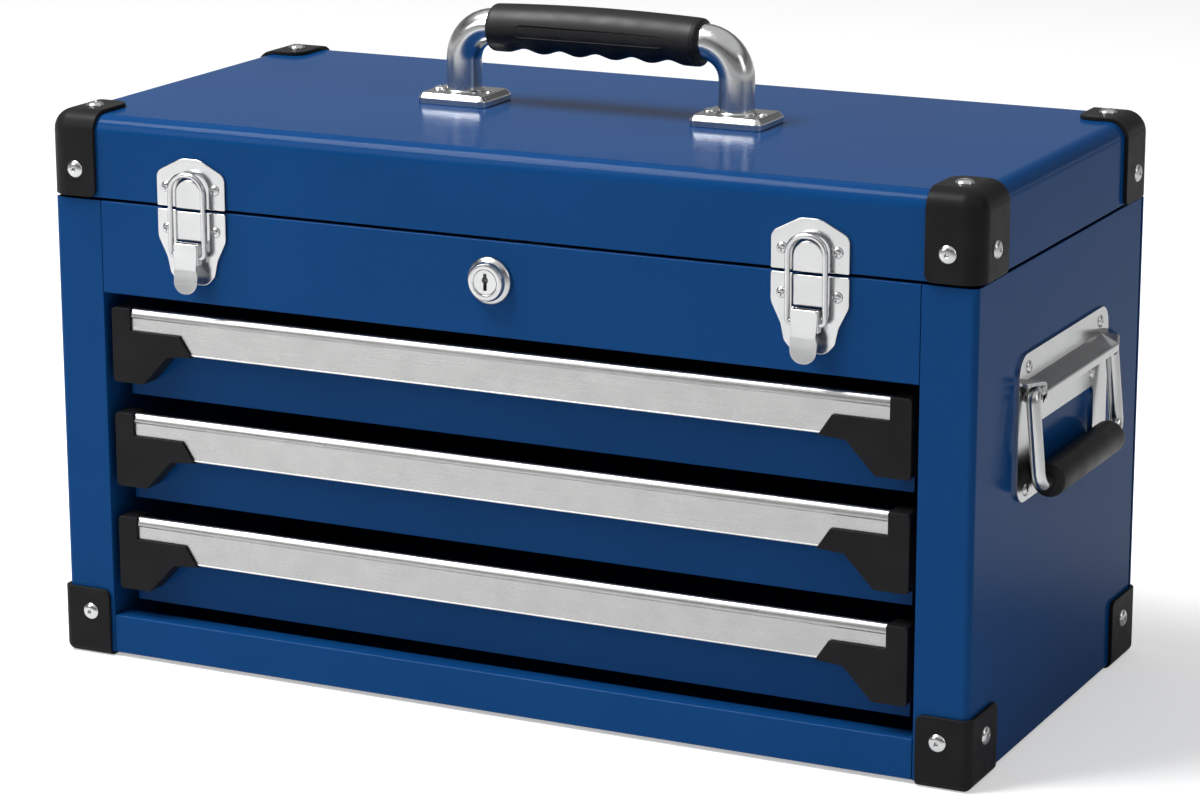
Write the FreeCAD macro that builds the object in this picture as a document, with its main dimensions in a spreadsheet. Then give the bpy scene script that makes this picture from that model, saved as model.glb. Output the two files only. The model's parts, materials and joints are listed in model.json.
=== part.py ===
import FreeCAD, Part
import math
import os
import Sketcher
from FreeCAD import Rotation, Vector

# A portable steel tool box: a case with three drawers on ball-bearing slides, a hinged lid over a
# top tray, two draw latches, a cam lock, a tube handle on the lid and a folding handle on each side.
#
# The frame: X runs along the box to its right, the front looks along -Y, and Z points up from the
# surface that the four lower corner guards stand on. The origin is the middle of that footprint.
#
# Lengths are in millimetres and angles in degrees.

SIZES = {
    # the case
    "case_length": 520.0,
    "case_depth": 248.0,
    "case_height": 249.6,
    "case_sheet": 1.2,
    "case_corner_radius": 3.5,
    "fold_radius": 1.0,
    "post_width": 28.6,
    "rail_height": 21.2,
    "top_panel_height": 49.6,
    "return_lip": 12.0,
    "rear_flange": 15.0,
    "floor_flange": 14.0,
    "hem_height": 8.0,
    "panel_seam": 0.4,
    "panel_tab": 13.0,
    # the lid
    "lid_gap": 1.6,
    "lid_height": 43.2,
    "lid_sheet": 1.2,
    "lid_edge_radius": 9.0,
    # the corner guards
    "guard_wall": 2.2,
    "guard_front": 29.0,
    "guard_side": 38.0,
    "guard_lower_height": 35.0,
    "guard_lower_radius": 4.5,
    "guard_corner_radius": 4.0,
    "guard_top_radius": 8.0,
    # the hinge along the back
    "hinge_end_gap": 3.0,
    "hinge_leaf": 1.0,
    "hinge_leaf_height": 14.0,
    "hinge_knuckle_radius": 2.7,
    "hinge_pin_radius": 1.2,
    "hinge_pin_clearance": 0.05,
    "hinge_gap": 0.4,
    "hinge_wall_gap": 0.32,
    # the drawers
    "drawer_head_gap": 7.6,
    "drawer_gap": 7.5,
    "drawer_foot_gap": 6.2,
    "drawer_recess": 14.0,
    "drawer_sheet": 0.9,
    "drawer_face_margin": 7.0,
    "drawer_rear_margin": 17.0,
    "drawer_floor_lift": 3.0,
    "drawer_wall_gap": 13.0,
    # the aluminium pulls and their end caps
    "pull_height_share": 0.45,
    "pull_wall": 1.6,
    "pull_nose_height": 4.2,
    "pull_nose_depth": 5.0,
    "pull_nose_radius": 2.0,
    "pull_lip_depth": 4.0,
    "cap_recess": 0.8,
    "cap_skin": 1.0,
    "cap_margin": 4.0,
    "cap_arm_width": 11.5,
    "cap_foot_gap": 9.4,
    "cap_step_share": 0.24,
    "cap_step_reach": 41.6,
    "cap_tip_reach": 49.0,
    "cap_tip_overhang": 0.5,
    "cap_under_reach": 34.2,
    "cap_under_overhang": 1.7,
    "cap_foot_width": 18.6,
    "cap_fit": 0.1,
    # the ball-bearing slides
    "slide_length": 214.0,
    "slide_setback": 2.5,
    "slide_width": 12.4,
    "slide_sheet": 1.1,
    "slide_height": 27.0,
    "slide_arm": 9.0,
    "slide_curl": 0.7,
    "slide_curl_wall": 0.9,
    "rail_section_height": 17.0,
    "rail_arm": 8.5,
    "ball_radius": 1.85,
    "cage_wall": 0.8,
    "cage_web_gap": 1.0,
    "cage_arm": 6.6,
    "cage_length": 60.0,
    "ball_pitch": 18.0,
    "ball_clearance": 0.1,
    # the draw latches
    "latch_inset": 85.6,
    "latch_half_width": 20.5,
    "latch_plate": 1.5,
    "latch_edge_gap": 0.4,
    "catch_shoulder": 18.0,
    "catch_arch_radius": 16.0,
    "catch_arch_lift": 9.2,
    "catch_tongue_half_width": 8.0,
    "catch_tongue_height": 15.2,
    "catch_tongue_raise": 2.5,
    "base_shoulder": 16.2,
    "base_taper": 34.0,
    "base_height": 39.0,
    "base_foot_half_width": 14.0,
    "base_tip_half_width": 8.0,
    "base_corner_radius": 3.0,
    "boss_half_width": 7.8,
    "boss_raise": 2.2,
    "boss_gap": 4.0,
    "lever_pivot_drop": 17.2,
    "lever_pivot_out": 5.2,
    "lever_pin_radius": 1.1,
    "lever_pin_clearance": 0.05,
    "lever_barrel_radius": 2.1,
    "lever_barrel_half_width": 3.6,
    "lever_half_width": 7.2,
    "lever_wall": 1.1,
    "lever_face_out": 3.4,
    "lever_head": 0.6,
    "lever_cheek": 10.5,
    "lever_cheek_depth": 1.7,
    "lever_waist_drop": 15.0,
    "lever_kink_drop": 19.5,
    "lever_tip_drop": 27.4,
    "lever_tip_out": 3.2,
    "lever_waist_half_width": 5.6,
    "lever_tip_half_width": 6.6,
    "wire_radius": 1.4,
    "wire_half_width": 9.9,
    "wire_gap": 0.3,
    "wire_hole_clearance": 0.1,
    "wire_pivot_drop": 6.5,
    "wire_reach": 43.0,
    "wire_bend_radius": 2.4,
    "wire_top_radius": 9.0,
    "wire_stub_inset": 4.6,
    "latch_screw_reach": 14.5,
    "catch_screw_lift": 9.6,
    "base_screw_drop": 10.0,
    "latch_screw_radius": 2.9,
    "latch_screw_height": 1.6,
    "latch_screw_bevel": 0.8,
    # the cam lock
    "lock_drop": 20.5,
    "lock_rim_radius": 12.5,
    "lock_rim_edge": 1.2,
    "lock_face_radius": 9.5,
    "lock_face_out": 6.0,
    "lock_barrel_radius": 8.8,
    "lock_barrel_length": 20.0,
    "lock_plug_radius": 6.4,
    "lock_plug_clearance": 0.05,
    "lock_plug_sink": 0.3,
    "lock_hole_clearance": 0.1,
    "lock_nut_half_width": 12.0,
    "lock_nut_thickness": 4.0,
    "keyhole_radius": 1.7,
    "keyhole_half_width": 0.9,
    "keyhole_half_height": 4.4,
    "keyhole_depth": 8.0,
    "cam_shank_half_width": 3.2,
    "cam_shank_length": 4.0,
    "cam_shank_start": 0.6,
    "cam_thickness": 2.0,
    "cam_half_width": 5.5,
    "cam_reach": 17.5,
    "cam_fit": 0.05,
    "strike_width": 9.0,
    "strike_inset": 9.6,
    "strike_wall": 1.5,
    "strike_gap": 1.6,
    "strike_foot": 7.0,
    "strike_foot_drop": 2.5,
    "strike_flange": 14.0,
    # the tube handle on the lid
    "handle_half_span": 79.5,
    "handle_rise": 41.8,
    "handle_tube_radius": 9.5,
    "handle_tube_wall": 1.2,
    "handle_bend_radius": 17.1,
    "foot_length": 41.0,
    "foot_width": 34.0,
    "foot_height": 6.0,
    "foot_slope": 2.2,
    "foot_corner_cut": 2.4,
    "foot_collar_radius": 11.2,
    "foot_collar_height": 1.4,
    "foot_bore_clearance": 0.05,
    "foot_rivet_reach": 15.2,
    "grip_half_length": 61.0,
    "grip_radius": 13.8,
    "grip_edge_radius": 2.5,
    "grip_bore_clearance": 0.05,
    "grip_scallop_radius": 15.0,
    "grip_scallop_depth": 2.4,
    "grip_scallop_pitch": 21.0,
    # the folding handles on the sides
    "side_plate_half_length": 67.0,
    "side_plate_drop": 45.6,
    "side_plate_height": 75.5,
    "side_plate_wall": 1.5,
    "side_plate_corner_radius": 11.0,
    "side_window_half_length": 46.0,
    "side_window_lift": 7.5,
    "side_window_height": 29.0,
    "side_window_radius": 5.0,
    "hood_half_length": 65.0,
    "hood_ear_reach": 54.6,
    "hood_ear": 3.0,
    "hood_drop": 13.2,
    "hood_height": 12.5,
    "hood_out": 10.2,
    "hood_wall": 1.5,
    "hood_bore_clearance": 0.08,
    "bail_radius": 3.6,
    "bail_half_length": 59.8,
    "bail_head_radius": 4.6,
    "bail_bend_radius": 8.0,
    "bail_pivot_out": 4.4,
    "bail_drop": 46.6,
    "bail_stub": 46.0,
    "side_grip_half_length": 47.0,
    "side_grip_radius": 9.5,
    "side_grip_edge_radius": 1.2,
    "side_grip_gap": 0.4,
    # rivets
    "rivet_radius": 4.7,
    "rivet_height": 1.9,
    "rivet_bevel": 1.5,
    "small_rivet_radius": 3.3,
    "small_rivet_height": 1.5,
    "small_rivet_bevel": 1.2,
    "guard_rivet_reach": 15.0,
    "guard_rivet_side_reach": 19.0,
    "guard_rivet_lift": 14.5,
    "guard_lower_rivet_lift": 22.0,
    "side_rivet_reach": 54.0,
    "side_rivet_high_drop": 7.2,
    "side_rivet_middle_reach": 42.5,
    "side_rivet_middle_lift": 7.0,
    "side_rivet_low_lift": 5.6,
    "side_rivet_low_reach": 54.0,
    # how far a cutting shape runs past what it cuts
    "overrun": 2.0,
}

HANDS = ((1, "right"), (-1, "left"))
DRAWERS = 3
BALLS_PER_ARM = 3
KNUCKLES = 7
SCALLOPS = 5
# Small round parts that repeat have this many sides
BALL_SIDES = 8
RIVET_SIDES = 8
GRIP_SIDES = 16
WIRE_SIDES = 8
BAIL_SIDES = 10
TUBE_SIDES = 16
# Each quarter turn of a wire or tube takes this many straight steps
BEND_STEPS = 3


doc = FreeCAD.newDocument("tool_box")
sheet = doc.addObject("Spreadsheet::Sheet", "sizes")
for row, (word, number) in enumerate(SIZES.items(), start=1):
    sheet.set("A%d" % row, word)
    sheet.set("B%d" % row, str(number))
    sheet.setAlias("B%d" % row, word)
doc.recompute()


class Size:
    """A length: its value, and the expression over the sheet's cells that gives it."""

    def __init__(self, value, text):
        self.value = value
        self.text = text

    def __float__(self):
        return float(self.value)

    def __add__(self, other):
        other = as_size(other)
        return Size(self.value + other.value, "(%s + %s)" % (self.text, other.text))

    def __sub__(self, other):
        other = as_size(other)
        return Size(self.value - other.value, "(%s - %s)" % (self.text, other.text))

    def __mul__(self, factor):
        factor = as_size(factor)
        return Size(self.value * factor.value, "(%s * %s)" % (self.text, factor.text))

    def __truediv__(self, factor):
        return Size(self.value / factor, "(%s / %r)" % (self.text, factor))

    def __neg__(self):
        return Size(-self.value, "(-1 * %s)" % self.text)

    __rmul__ = __mul__


def as_size(number):
    """Zero is the only plain number that stands as a length."""
    return number if isinstance(number, Size) else Size(number, repr(number))


ZERO = as_size(0)


class Sheet:
    """The cells of the sheet, each read by its word."""

    def __getattr__(self, word):
        return Size(float(sheet.get(word)), "sizes.%s" % word)


q = Sheet()


# Heights and depths that several pieces share

case_half = q.case_length / 2
depth_half = q.case_depth / 2
case_foot = q.guard_wall
case_top = case_foot + q.case_height
opening_half = case_half - q.post_width
opening_head = case_top - q.top_panel_height
opening_height = opening_head - case_foot - q.rail_height
inner_half = case_half - q.case_sheet
rear_inner = depth_half - q.case_sheet * 2
inner_corner_radius = q.case_corner_radius - q.case_sheet
pan_front = q.case_sheet + inner_corner_radius - depth_half
pan_rear = rear_inner - inner_corner_radius
lid_foot = case_top + q.lid_gap
lid_top = lid_foot + q.lid_height
tray_floor_foot = opening_head + q.case_sheet
face_front = q.drawer_recess - depth_half
face_back = face_front + q.drawer_sheet
drawer_face_height = (opening_height - q.drawer_head_gap - q.drawer_foot_gap
                      - q.drawer_gap * (DRAWERS - 1)) / DRAWERS
drawer_wall_height = drawer_face_height - q.drawer_wall_gap
pull_height = drawer_face_height * q.pull_height_share
cap_height = drawer_face_height - q.cap_foot_gap
drawer_half = opening_half - q.slide_width
drawer_rear = depth_half - q.drawer_rear_margin
drawer_floor = q.drawer_floor_lift - drawer_face_height
slide_front = face_back + q.slide_setback
slide_level = drawer_floor + drawer_wall_height / 2
cap_front = q.cap_recess - depth_half
pull_front = cap_front + q.cap_skin
cap_outer = opening_half - q.cap_margin
pull_half = cap_outer - q.cap_arm_width - q.cap_fit
hinge_level = case_top + q.lid_gap / 2
hinge_length = q.case_length - (q.guard_front + q.hinge_end_gap) * 2
hinge_out = depth_half + q.hinge_knuckle_radius + q.hinge_wall_gap
latch_place = case_half - q.latch_inset
lever_pivot_level = case_top - q.lever_pivot_drop
lever_pivot_depth = -depth_half - q.lever_pivot_out
wire_depth = -depth_half - q.latch_plate - q.catch_tongue_raise - q.wire_gap - q.wire_radius
wire_pivot_level = lever_pivot_level - q.wire_pivot_drop
lock_level = case_top - q.lock_drop
handle_level = lid_top + q.handle_rise
side_plate_out = case_half + q.side_plate_wall
side_plate_high = case_top - q.side_plate_drop
side_plate_low = side_plate_high - q.side_plate_height
side_window_low = side_plate_low + q.side_window_lift
side_window_high = side_window_low + q.side_window_height
hood_high = side_plate_high - q.hood_drop
bail_pivot_out = side_plate_out + q.bail_pivot_out
bail_pivot_level = hood_high - q.hood_height / 2


# Tools that the pieces share

def pin_point(sketch, geometry, end, x, y):
    """Hold one end of a line or arc at two sizes, measured from the sketch's origin."""
    for kind, size, axis in (("DistanceX", x, -2), ("DistanceY", y, -1)):
        size = as_size(size)
        if size.text == "0":
            sketch.addConstraint(Sketcher.Constraint("PointOnObject", geometry, end, axis))
        else:
            index = sketch.addConstraint(Sketcher.Constraint(kind, -1, 1, geometry, end, float(size)))
            sketch.setExpression("Constraints[%d]" % index, size.text)


def new_sketch(body, name, plane, offset=ZERO):
    """An empty sketch on one of the body's origin planes, moved along that plane's normal."""
    sketch = body.newObject("Sketcher::SketchObject", name)
    support = [part for part in body.Origin.OriginFeatures if part.Role == plane][0]
    sketch.AttachmentSupport = (support, [""])
    sketch.MapMode = "FlatFace"
    sketch.setExpression("AttachmentOffset.Base.z", as_size(offset).text)
    return sketch


def outline(body, name, plane, points, offset=ZERO, hole=None):
    """A closed outline of straight runs through the given corners, with a hole if one is given."""
    sketch = new_sketch(body, name, plane, offset)
    for loop in (points, hole or []):
        first = len(sketch.Geometry)
        ends = [Vector(float(x), float(y), 0) for x, y in loop]
        runs = [Part.LineSegment(a, b) for a, b in zip(ends, ends[1:] + ends[:1])]
        sketch.addGeometry(runs, False)
        for i in range(len(loop)):
            after = first + (i + 1) % len(loop)
            sketch.addConstraint(Sketcher.Constraint("Coincident", first + i, 2, after, 1))
            pin_point(sketch, first + i, 1, *loop[i])
    return sketch


def regular(x, y, radius, sides):
    """The corners of a polygon round a centre, which stands for a round section of small parts."""
    turn = math.pi * 2 / sides
    return [(as_size(x) + radius * round(math.cos(turn * (n + 0.5)), 9),
             as_size(y) + radius * round(math.sin(turn * (n + 0.5)), 9)) for n in range(sides)]


def circles(body, name, plane, places, offset=ZERO):
    """Circles, each given as the two sizes of its centre and its radius."""
    sketch = new_sketch(body, name, plane, offset)
    for x, y, radius in places:
        centre = Vector(float(x), float(y), 0)
        index = sketch.addGeometry(Part.Circle(centre, Vector(0, 0, 1), float(radius)), False)
        pin_point(sketch, index, 3, x, y)
        radius_index = sketch.addConstraint(Sketcher.Constraint("Radius", index, float(radius)))
        sketch.setExpression("Constraints[%d]" % radius_index, radius.text)
    return sketch


def bent_route(body, name, plane, corners, radii, offset=ZERO):
    """Straight runs along the plane's two axes, joined by quarter turns in short steps."""
    points = [corners[0]]
    for corner, radius, before, after in zip(corners[1:-1], radii, corners, corners[2:]):
        come = [sign(corner[k] - before[k]) for k in (0, 1)]
        go = [sign(after[k] - corner[k]) for k in (0, 1)]
        for n in range(BEND_STEPS + 1):
            turn = math.pi * n / (BEND_STEPS * 2)
            back = round(1 - math.sin(turn), 9)
            ahead = round(1 - math.cos(turn), 9)
            points.append([as_size(corner[k]) - radius * (come[k] * back) + radius * (go[k] * ahead)
                           for k in (0, 1)])
    points.append(corners[-1])
    sketch = new_sketch(body, name, plane, offset)
    ends = [Vector(float(x), float(y), 0) for x, y in points]
    sketch.addGeometry([Part.LineSegment(a, b) for a, b in zip(ends, ends[1:])], False)
    for i, point in enumerate(points[:-1]):
        pin_point(sketch, i, 1, *point)
        if i:
            sketch.addConstraint(Sketcher.Constraint("Coincident", i - 1, 2, i, 1))
    pin_point(sketch, len(points) - 2, 2, *points[-1])
    return sketch


def sign(size):
    """The direction of a run: 1, 0 or -1."""
    value = float(size)
    return 0 if value == 0 else (1 if value > 0 else -1)


def flat(point):
    return Vector(float(point[0]), float(point[1]), 0)


def new_body(name):
    return doc.addObject("PartDesign::Body", name)


def pad(body, sketch, length, away=False):
    """Raise an outline along its plane's normal, or against it."""
    feature = body.newObject("PartDesign::Pad", sketch.Name + "_pad")
    feature.Profile = sketch
    feature.Reversed = away
    feature.setExpression("Length", length.text)
    doc.recompute()
    return feature


def pocket(body, sketch, depth, away=False):
    """Cut an outline into the solid against its plane's normal, or along it."""
    before = body.Shape.Volume
    feature = body.newObject("PartDesign::Pocket", sketch.Name + "_pocket")
    feature.Profile = sketch
    feature.Reversed = away
    feature.setExpression("Length", depth.text)
    doc.recompute()
    assert body.Shape.Volume < before, "%s cuts nothing" % feature.Name
    return feature


def turned(body, sketch):
    """Turn an outline once round the vertical axis of its plane."""
    feature = body.newObject("PartDesign::Revolution", sketch.Name + "_turned")
    feature.Profile = sketch
    feature.ReferenceAxis = (sketch, ["V_Axis"])
    feature.Angle = 360
    doc.recompute()
    return feature


def rounded(body, kind, chosen, radius):
    """Round or chamfer the edges of the body that pass the test."""
    base = body.Tip
    names = ["Edge%d" % n for n, edge in enumerate(base.Shape.Edges, start=1) if chosen(edge)]
    assert names, "%s has no edge to treat" % body.Name
    feature = body.newObject("PartDesign::%s" % kind, "%s_%s" % (body.Name, kind.lower()))
    feature.Base = (base, names)
    feature.setExpression("Radius" if kind == "Fillet" else "Size", radius.text)
    doc.recompute()
    return feature


def along_x(body, features, pitch, count):
    """Repeat features of a body along X."""
    pattern = body.newObject("PartDesign::LinearPattern", body.Name + "_repeats")
    pattern.Originals = features
    axis = [part for part in body.Origin.OriginFeatures if part.Role == "X_Axis"][0]
    pattern.Direction = (axis, [""])
    pattern.Occurrences = count
    pattern.setExpression("Length", (pitch * (count - 1)).text)
    body.Tip = pattern
    doc.recompute()
    return pattern


def runs_along(edge, axis):
    """Whether a straight edge runs along the axis: 0, 1 or 2."""
    if len(edge.Vertexes) != 2 or not isinstance(edge.Curve, (Part.Line, Part.LineSegment)):
        return False
    direction = edge.Vertexes[1].Point - edge.Vertexes[0].Point
    return abs(abs(direction[axis]) - direction.Length) < NEAR


def lies_at(edge, **places):
    """Whether the middle of an edge lies at the given x, y or z."""
    middle = edge.CenterOfMass
    return all(abs(getattr(middle, axis) - float(place)) < NEAR for axis, place in places.items())


NEAR = 1e-5


def add_box(name, low, high):
    """A block between two corners."""
    block = doc.addObject("Part::Box", name)
    for length, axis, a, b in zip(("Length", "Width", "Height"), "xyz", low, high):
        a, b = as_size(a), as_size(b)
        block.setExpression(length, (b - a).text)
        block.setExpression("Placement.Base." + axis, a.text)
    return block


def add_cylinder(name, centre, direction, radius, length):
    """A round bar from its centre point along a direction."""
    bar = doc.addObject("Part::Cylinder", name)
    bar.Placement.Rotation = Rotation(Vector(0, 0, 1), direction)
    bar.setExpression("Radius", radius.text)
    bar.setExpression("Height", length.text)
    for axis, place in zip("xyz", centre):
        bar.setExpression("Placement.Base." + axis, as_size(place).text)
    return bar


def join(name, pieces):
    fused = doc.addObject("Part::MultiFuse", name)
    fused.Shapes = pieces
    fused.Refine = True
    return fused


def cut(name, base, tool):
    piece = doc.addObject("Part::Cut", name)
    piece.Base = base
    piece.Tool = tool
    return piece


def common(name, first, second):
    piece = doc.addObject("Part::Common", name)
    piece.Base = first
    piece.Tool = second
    return piece


def group(name, pieces):
    """Separate solids that share one node."""
    together = doc.addObject("Part::Compound", name)
    together.Links = pieces
    return together


def copy_of(piece, name, x, y, z, rotation=None):
    """Another of a piece that has been drawn once."""
    other = doc.addObject("App::Link", name)
    other.LinkedObject = piece
    if rotation is not None:
        other.Placement.Rotation = rotation
    move_to(other, x, y, z)
    return other


def move_to(piece, x=ZERO, y=ZERO, z=ZERO):
    for axis, place in zip("xyz", (x, y, z)):
        piece.setExpression("Placement.Base." + axis, as_size(place).text)


nodes = []


def keep(piece, label):
    """Name a finished piece, which is written to a file of that name."""
    piece.Label = label
    nodes.append(piece)
    return piece


# The case: two side panels with the front posts, the back, the floor and rail, the top front panel

def side_panel(name, side):
    """One sheet in plan: the front post, the side and a flange behind the back panel."""
    body = new_body(name)
    post_inner = opening_half * side
    out = case_half * side
    inside = inner_half * side
    flange_end = (case_half - q.rear_flange) * side
    back = depth_half - q.case_sheet
    plan = outline(body, name + "_plan", "XY_Plane", [
        (post_inner, -depth_half), (out, -depth_half), (out, back), (flange_end, back),
        (flange_end, rear_inner), (inside, rear_inner), (inside, q.case_sheet - depth_half),
        (post_inner, q.case_sheet - depth_half)], offset=case_foot)
    pad(body, plan, q.case_height)
    lip_end = post_inner + q.case_sheet * side
    lip_front = q.case_sheet - depth_half
    lip_back = q.return_lip - depth_half
    lip = outline(body, name + "_lip", "XY_Plane", [
        (post_inner, lip_front), (lip_end, lip_front), (lip_end, lip_back), (post_inner, lip_back)],
        offset=case_foot + q.rail_height)
    pad(body, lip, opening_head - case_foot - q.rail_height)
    rounded(body, "Fillet", lambda edge: runs_along(edge, 2) and (
        lies_at(edge, x=out, y=-depth_half) or lies_at(edge, x=out, y=back)), q.case_corner_radius)
    rounded(body, "Fillet", lambda edge: runs_along(edge, 2) and (
        lies_at(edge, x=inside, y=lip_front) or lies_at(edge, x=inside, y=rear_inner)),
        inner_corner_radius)
    return keep(body, name)


def back_panel():
    """A flat sheet over the side panels' flanges, with its top edge hemmed between them."""
    body = new_body("back_panel")
    front = depth_half - q.case_sheet
    main = outline(body, "back_plate", "XY_Plane", [
        (-case_half, front), (case_half, front), (case_half, depth_half), (-case_half, depth_half)],
        offset=case_foot)
    pad(body, main, q.case_height)
    hem_half = case_half - q.rear_flange - q.panel_seam
    hem = outline(body, "back_hem", "XY_Plane", [
        (-hem_half, rear_inner), (hem_half, rear_inner), (hem_half, front), (-hem_half, front)],
        offset=case_top - q.hem_height)
    pad(body, hem, q.hem_height)
    return keep(body, "back_panel")


def floor_pan(body, prefix, foot):
    """A floor with its two sides and its back edge turned up against the case."""
    rise = foot + q.floor_flange
    top = foot + q.case_sheet
    inner = inner_half - q.case_sheet
    section = outline(body, prefix + "_section", "XZ_Plane", [
        (-inner_half, foot), (inner_half, foot), (inner_half, rise), (inner, rise), (inner, top),
        (-inner, top), (-inner, rise), (-inner_half, rise)], offset=-pan_front)
    pad(body, section, pan_rear - pan_front, away=True)
    flange_half = case_half - q.rear_flange - q.panel_seam
    flange_back = rear_inner + q.case_sheet
    flange = outline(body, prefix + "_rear_flange", "YZ_Plane", [
        (pan_rear, foot), (flange_back, foot), (flange_back, rise), (rear_inner, rise),
        (rear_inner, top), (pan_rear, top)], offset=-flange_half)
    pad(body, flange, flange_half * 2)


def bottom_panel():
    """The floor of the case, folded up in front as the rail below the drawers."""
    body = new_body("bottom_panel")
    floor_pan(body, "bottom", case_foot)
    rail_half = opening_half - q.panel_seam
    front = -depth_half
    inside = q.case_sheet - depth_half
    lip_back = q.return_lip - depth_half
    head = case_foot + q.rail_height
    under = head - q.case_sheet
    top = case_foot + q.case_sheet
    rail = outline(body, "rail_section", "YZ_Plane", [
        (front, case_foot), (front, head), (lip_back, head), (lip_back, under), (inside, under),
        (inside, top), (pan_front, top), (pan_front, case_foot)], offset=-rail_half)
    pad(body, rail, rail_half * 2)
    rounded(body, "Fillet", lambda edge: runs_along(edge, 0) and (
        lies_at(edge, y=front, z=case_foot) or lies_at(edge, y=front, z=head)), q.fold_radius)
    return keep(body, "bottom_panel")


def top_front_panel():
    """The fixed panel above the drawers, with tabs that reach behind the posts."""
    body = new_body("top_front_panel")
    half = opening_half - q.panel_seam
    front = -depth_half
    inside = q.case_sheet - depth_half
    behind = q.case_sheet * 2 - depth_half
    lip_back = q.return_lip - depth_half
    hem_foot = case_top - q.hem_height
    section = outline(body, "top_panel_section", "YZ_Plane", [
        (front, opening_head), (front, case_top), (behind, case_top), (behind, hem_foot),
        (inside, hem_foot), (inside, tray_floor_foot), (lip_back, tray_floor_foot),
        (lip_back, opening_head)], offset=-half)
    pad(body, section, half * 2)
    for side, word in ((1, "right"), (-1, "left")):
        start = (half - q.panel_tab) * side
        stop = (opening_half + q.panel_tab) * side
        tab = outline(body, "tab_" + word, "XZ_Plane", [
            (start, tray_floor_foot), (stop, tray_floor_foot), (stop, hem_foot), (start, hem_foot)],
            offset=-inside)
        pad(body, tab, q.case_sheet, away=True)
    hole = circles(body, "lock_hole", "XZ_Plane", [
        (ZERO, lock_level, q.lock_barrel_radius + q.lock_hole_clearance)], offset=-front + q.overrun)
    pocket(body, hole, q.case_sheet + q.overrun * 2)
    rounded(body, "Fillet", lambda edge: runs_along(edge, 0) and (
        lies_at(edge, y=front, z=opening_head) or lies_at(edge, y=front, z=case_top)), q.fold_radius)
    return keep(body, "top_front_panel")


def tray_floor():
    """The floor of the top tray, lying on the top panel's folded lip and on the uprights."""
    body = new_body("top_tray_floor")
    floor_pan(body, "tray", tray_floor_foot)
    return keep(body, "top_tray_floor")


def slide_upright(name, side):
    """The inner wall behind a post, which carries the slides."""
    body = new_body(name)
    face = opening_half * side
    behind = (opening_half + q.case_sheet) * side
    flange_end = (inner_half - inner_corner_radius) * side
    front = q.return_lip - depth_half
    front_in = front + q.case_sheet
    back_in = rear_inner - q.case_sheet
    plan = outline(body, name + "_plan", "XY_Plane", [
        (face, front), (flange_end, front), (flange_end, front_in), (behind, front_in),
        (behind, back_in), (flange_end, back_in), (flange_end, rear_inner), (face, rear_inner)],
        offset=case_foot + q.case_sheet)
    pad(body, plan, tray_floor_foot - case_foot - q.case_sheet)
    return keep(body, name)


# The slides: a channel on each upright, a rail on each side of a drawer, and balls in a cage
# between their raceways. The rail runs its whole travel on the balls, and the cage goes half as far.

channel_half = q.slide_height / 2
rail_half_height = q.rail_section_height / 2
raceway_level = (channel_half - q.slide_sheet + rail_half_height) / 2


def slide_channel(name, side, level):
    """The outer channel, open towards the drawer, with curled arms that hold the balls."""
    body = new_body(name)
    inner = channel_half - q.slide_sheet
    curl = inner - q.slide_curl
    face = opening_half * side
    web = (opening_half - q.slide_sheet) * side
    tip = (opening_half - q.slide_arm) * side
    hook = (opening_half - q.slide_arm + q.slide_curl_wall) * side
    half_points = [(face, channel_half), (tip, channel_half), (tip, curl), (hook, curl),
                   (hook, inner), (web, inner)]
    section = outline(body, name + "_section", "XZ_Plane", mirrored_points(half_points),
                      offset=-slide_front)
    pad(body, section, q.slide_length, away=True)
    move_to(body, z=level)
    return body


def drawer_rail(name, side):
    """The inner rail on a drawer's side, with arms whose ends curl out past the balls."""
    body = new_body(name)
    inner = rail_half_height - q.slide_sheet
    curl = rail_half_height + q.slide_curl
    face = drawer_half * side
    web = (drawer_half + q.slide_sheet) * side
    tip = (drawer_half + q.rail_arm) * side
    hook = (drawer_half + q.rail_arm - q.slide_curl_wall) * side
    half_points = [(face, rail_half_height), (hook, rail_half_height), (hook, curl), (tip, curl),
                   (tip, inner), (web, inner)]
    section = outline(body, name + "_section", "XZ_Plane", mirrored_points(half_points),
                      offset=-slide_front)
    pad(body, section, q.slide_length, away=True)
    return body


def mirrored_points(points):
    """The points of an upper half, and the same points below in the opposite order."""
    return points + [(x, -z) for x, z in reversed(points)]


def ball_cage(name, side):
    """The retainer between the two raceways, with a hole round each ball."""
    body = new_body(name)
    web_out = opening_half - q.slide_sheet - q.cage_web_gap
    arm_high = raceway_level + q.cage_wall / 2
    arm_low = raceway_level - q.cage_wall / 2
    tip = (web_out - q.cage_arm) * side
    half_points = [(web_out * side, arm_high), (tip, arm_high), (tip, arm_low),
                   ((web_out - q.cage_wall) * side, arm_low)]
    section = outline(body, name + "_section", "XZ_Plane", mirrored_points(half_points),
                      offset=-cage_front)
    pad(body, section, q.cage_length, away=True)
    for n, place in enumerate(ball_places, start=1):
        hole = outline(body, "%s_hole_%d" % (name, n), "XY_Plane", regular(
            ball_line * side, place, q.ball_radius + q.ball_clearance, BALL_SIDES),
            offset=channel_half)
        pocket(body, hole, channel_half * 2)
    return body


# A cage starts as far back as half the travel, so that it never leaves the channel
cage_front = slide_front + (q.slide_length - q.cage_length) / 2
ball_line = (opening_half - q.slide_arm + q.slide_curl_wall
             + drawer_half + q.rail_arm - q.slide_curl_wall) / 2
ball_places = [cage_front + q.cage_length / 2 + q.ball_pitch * (n - (BALLS_PER_ARM - 1) / 2)
               for n in range(BALLS_PER_ARM)]


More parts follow.
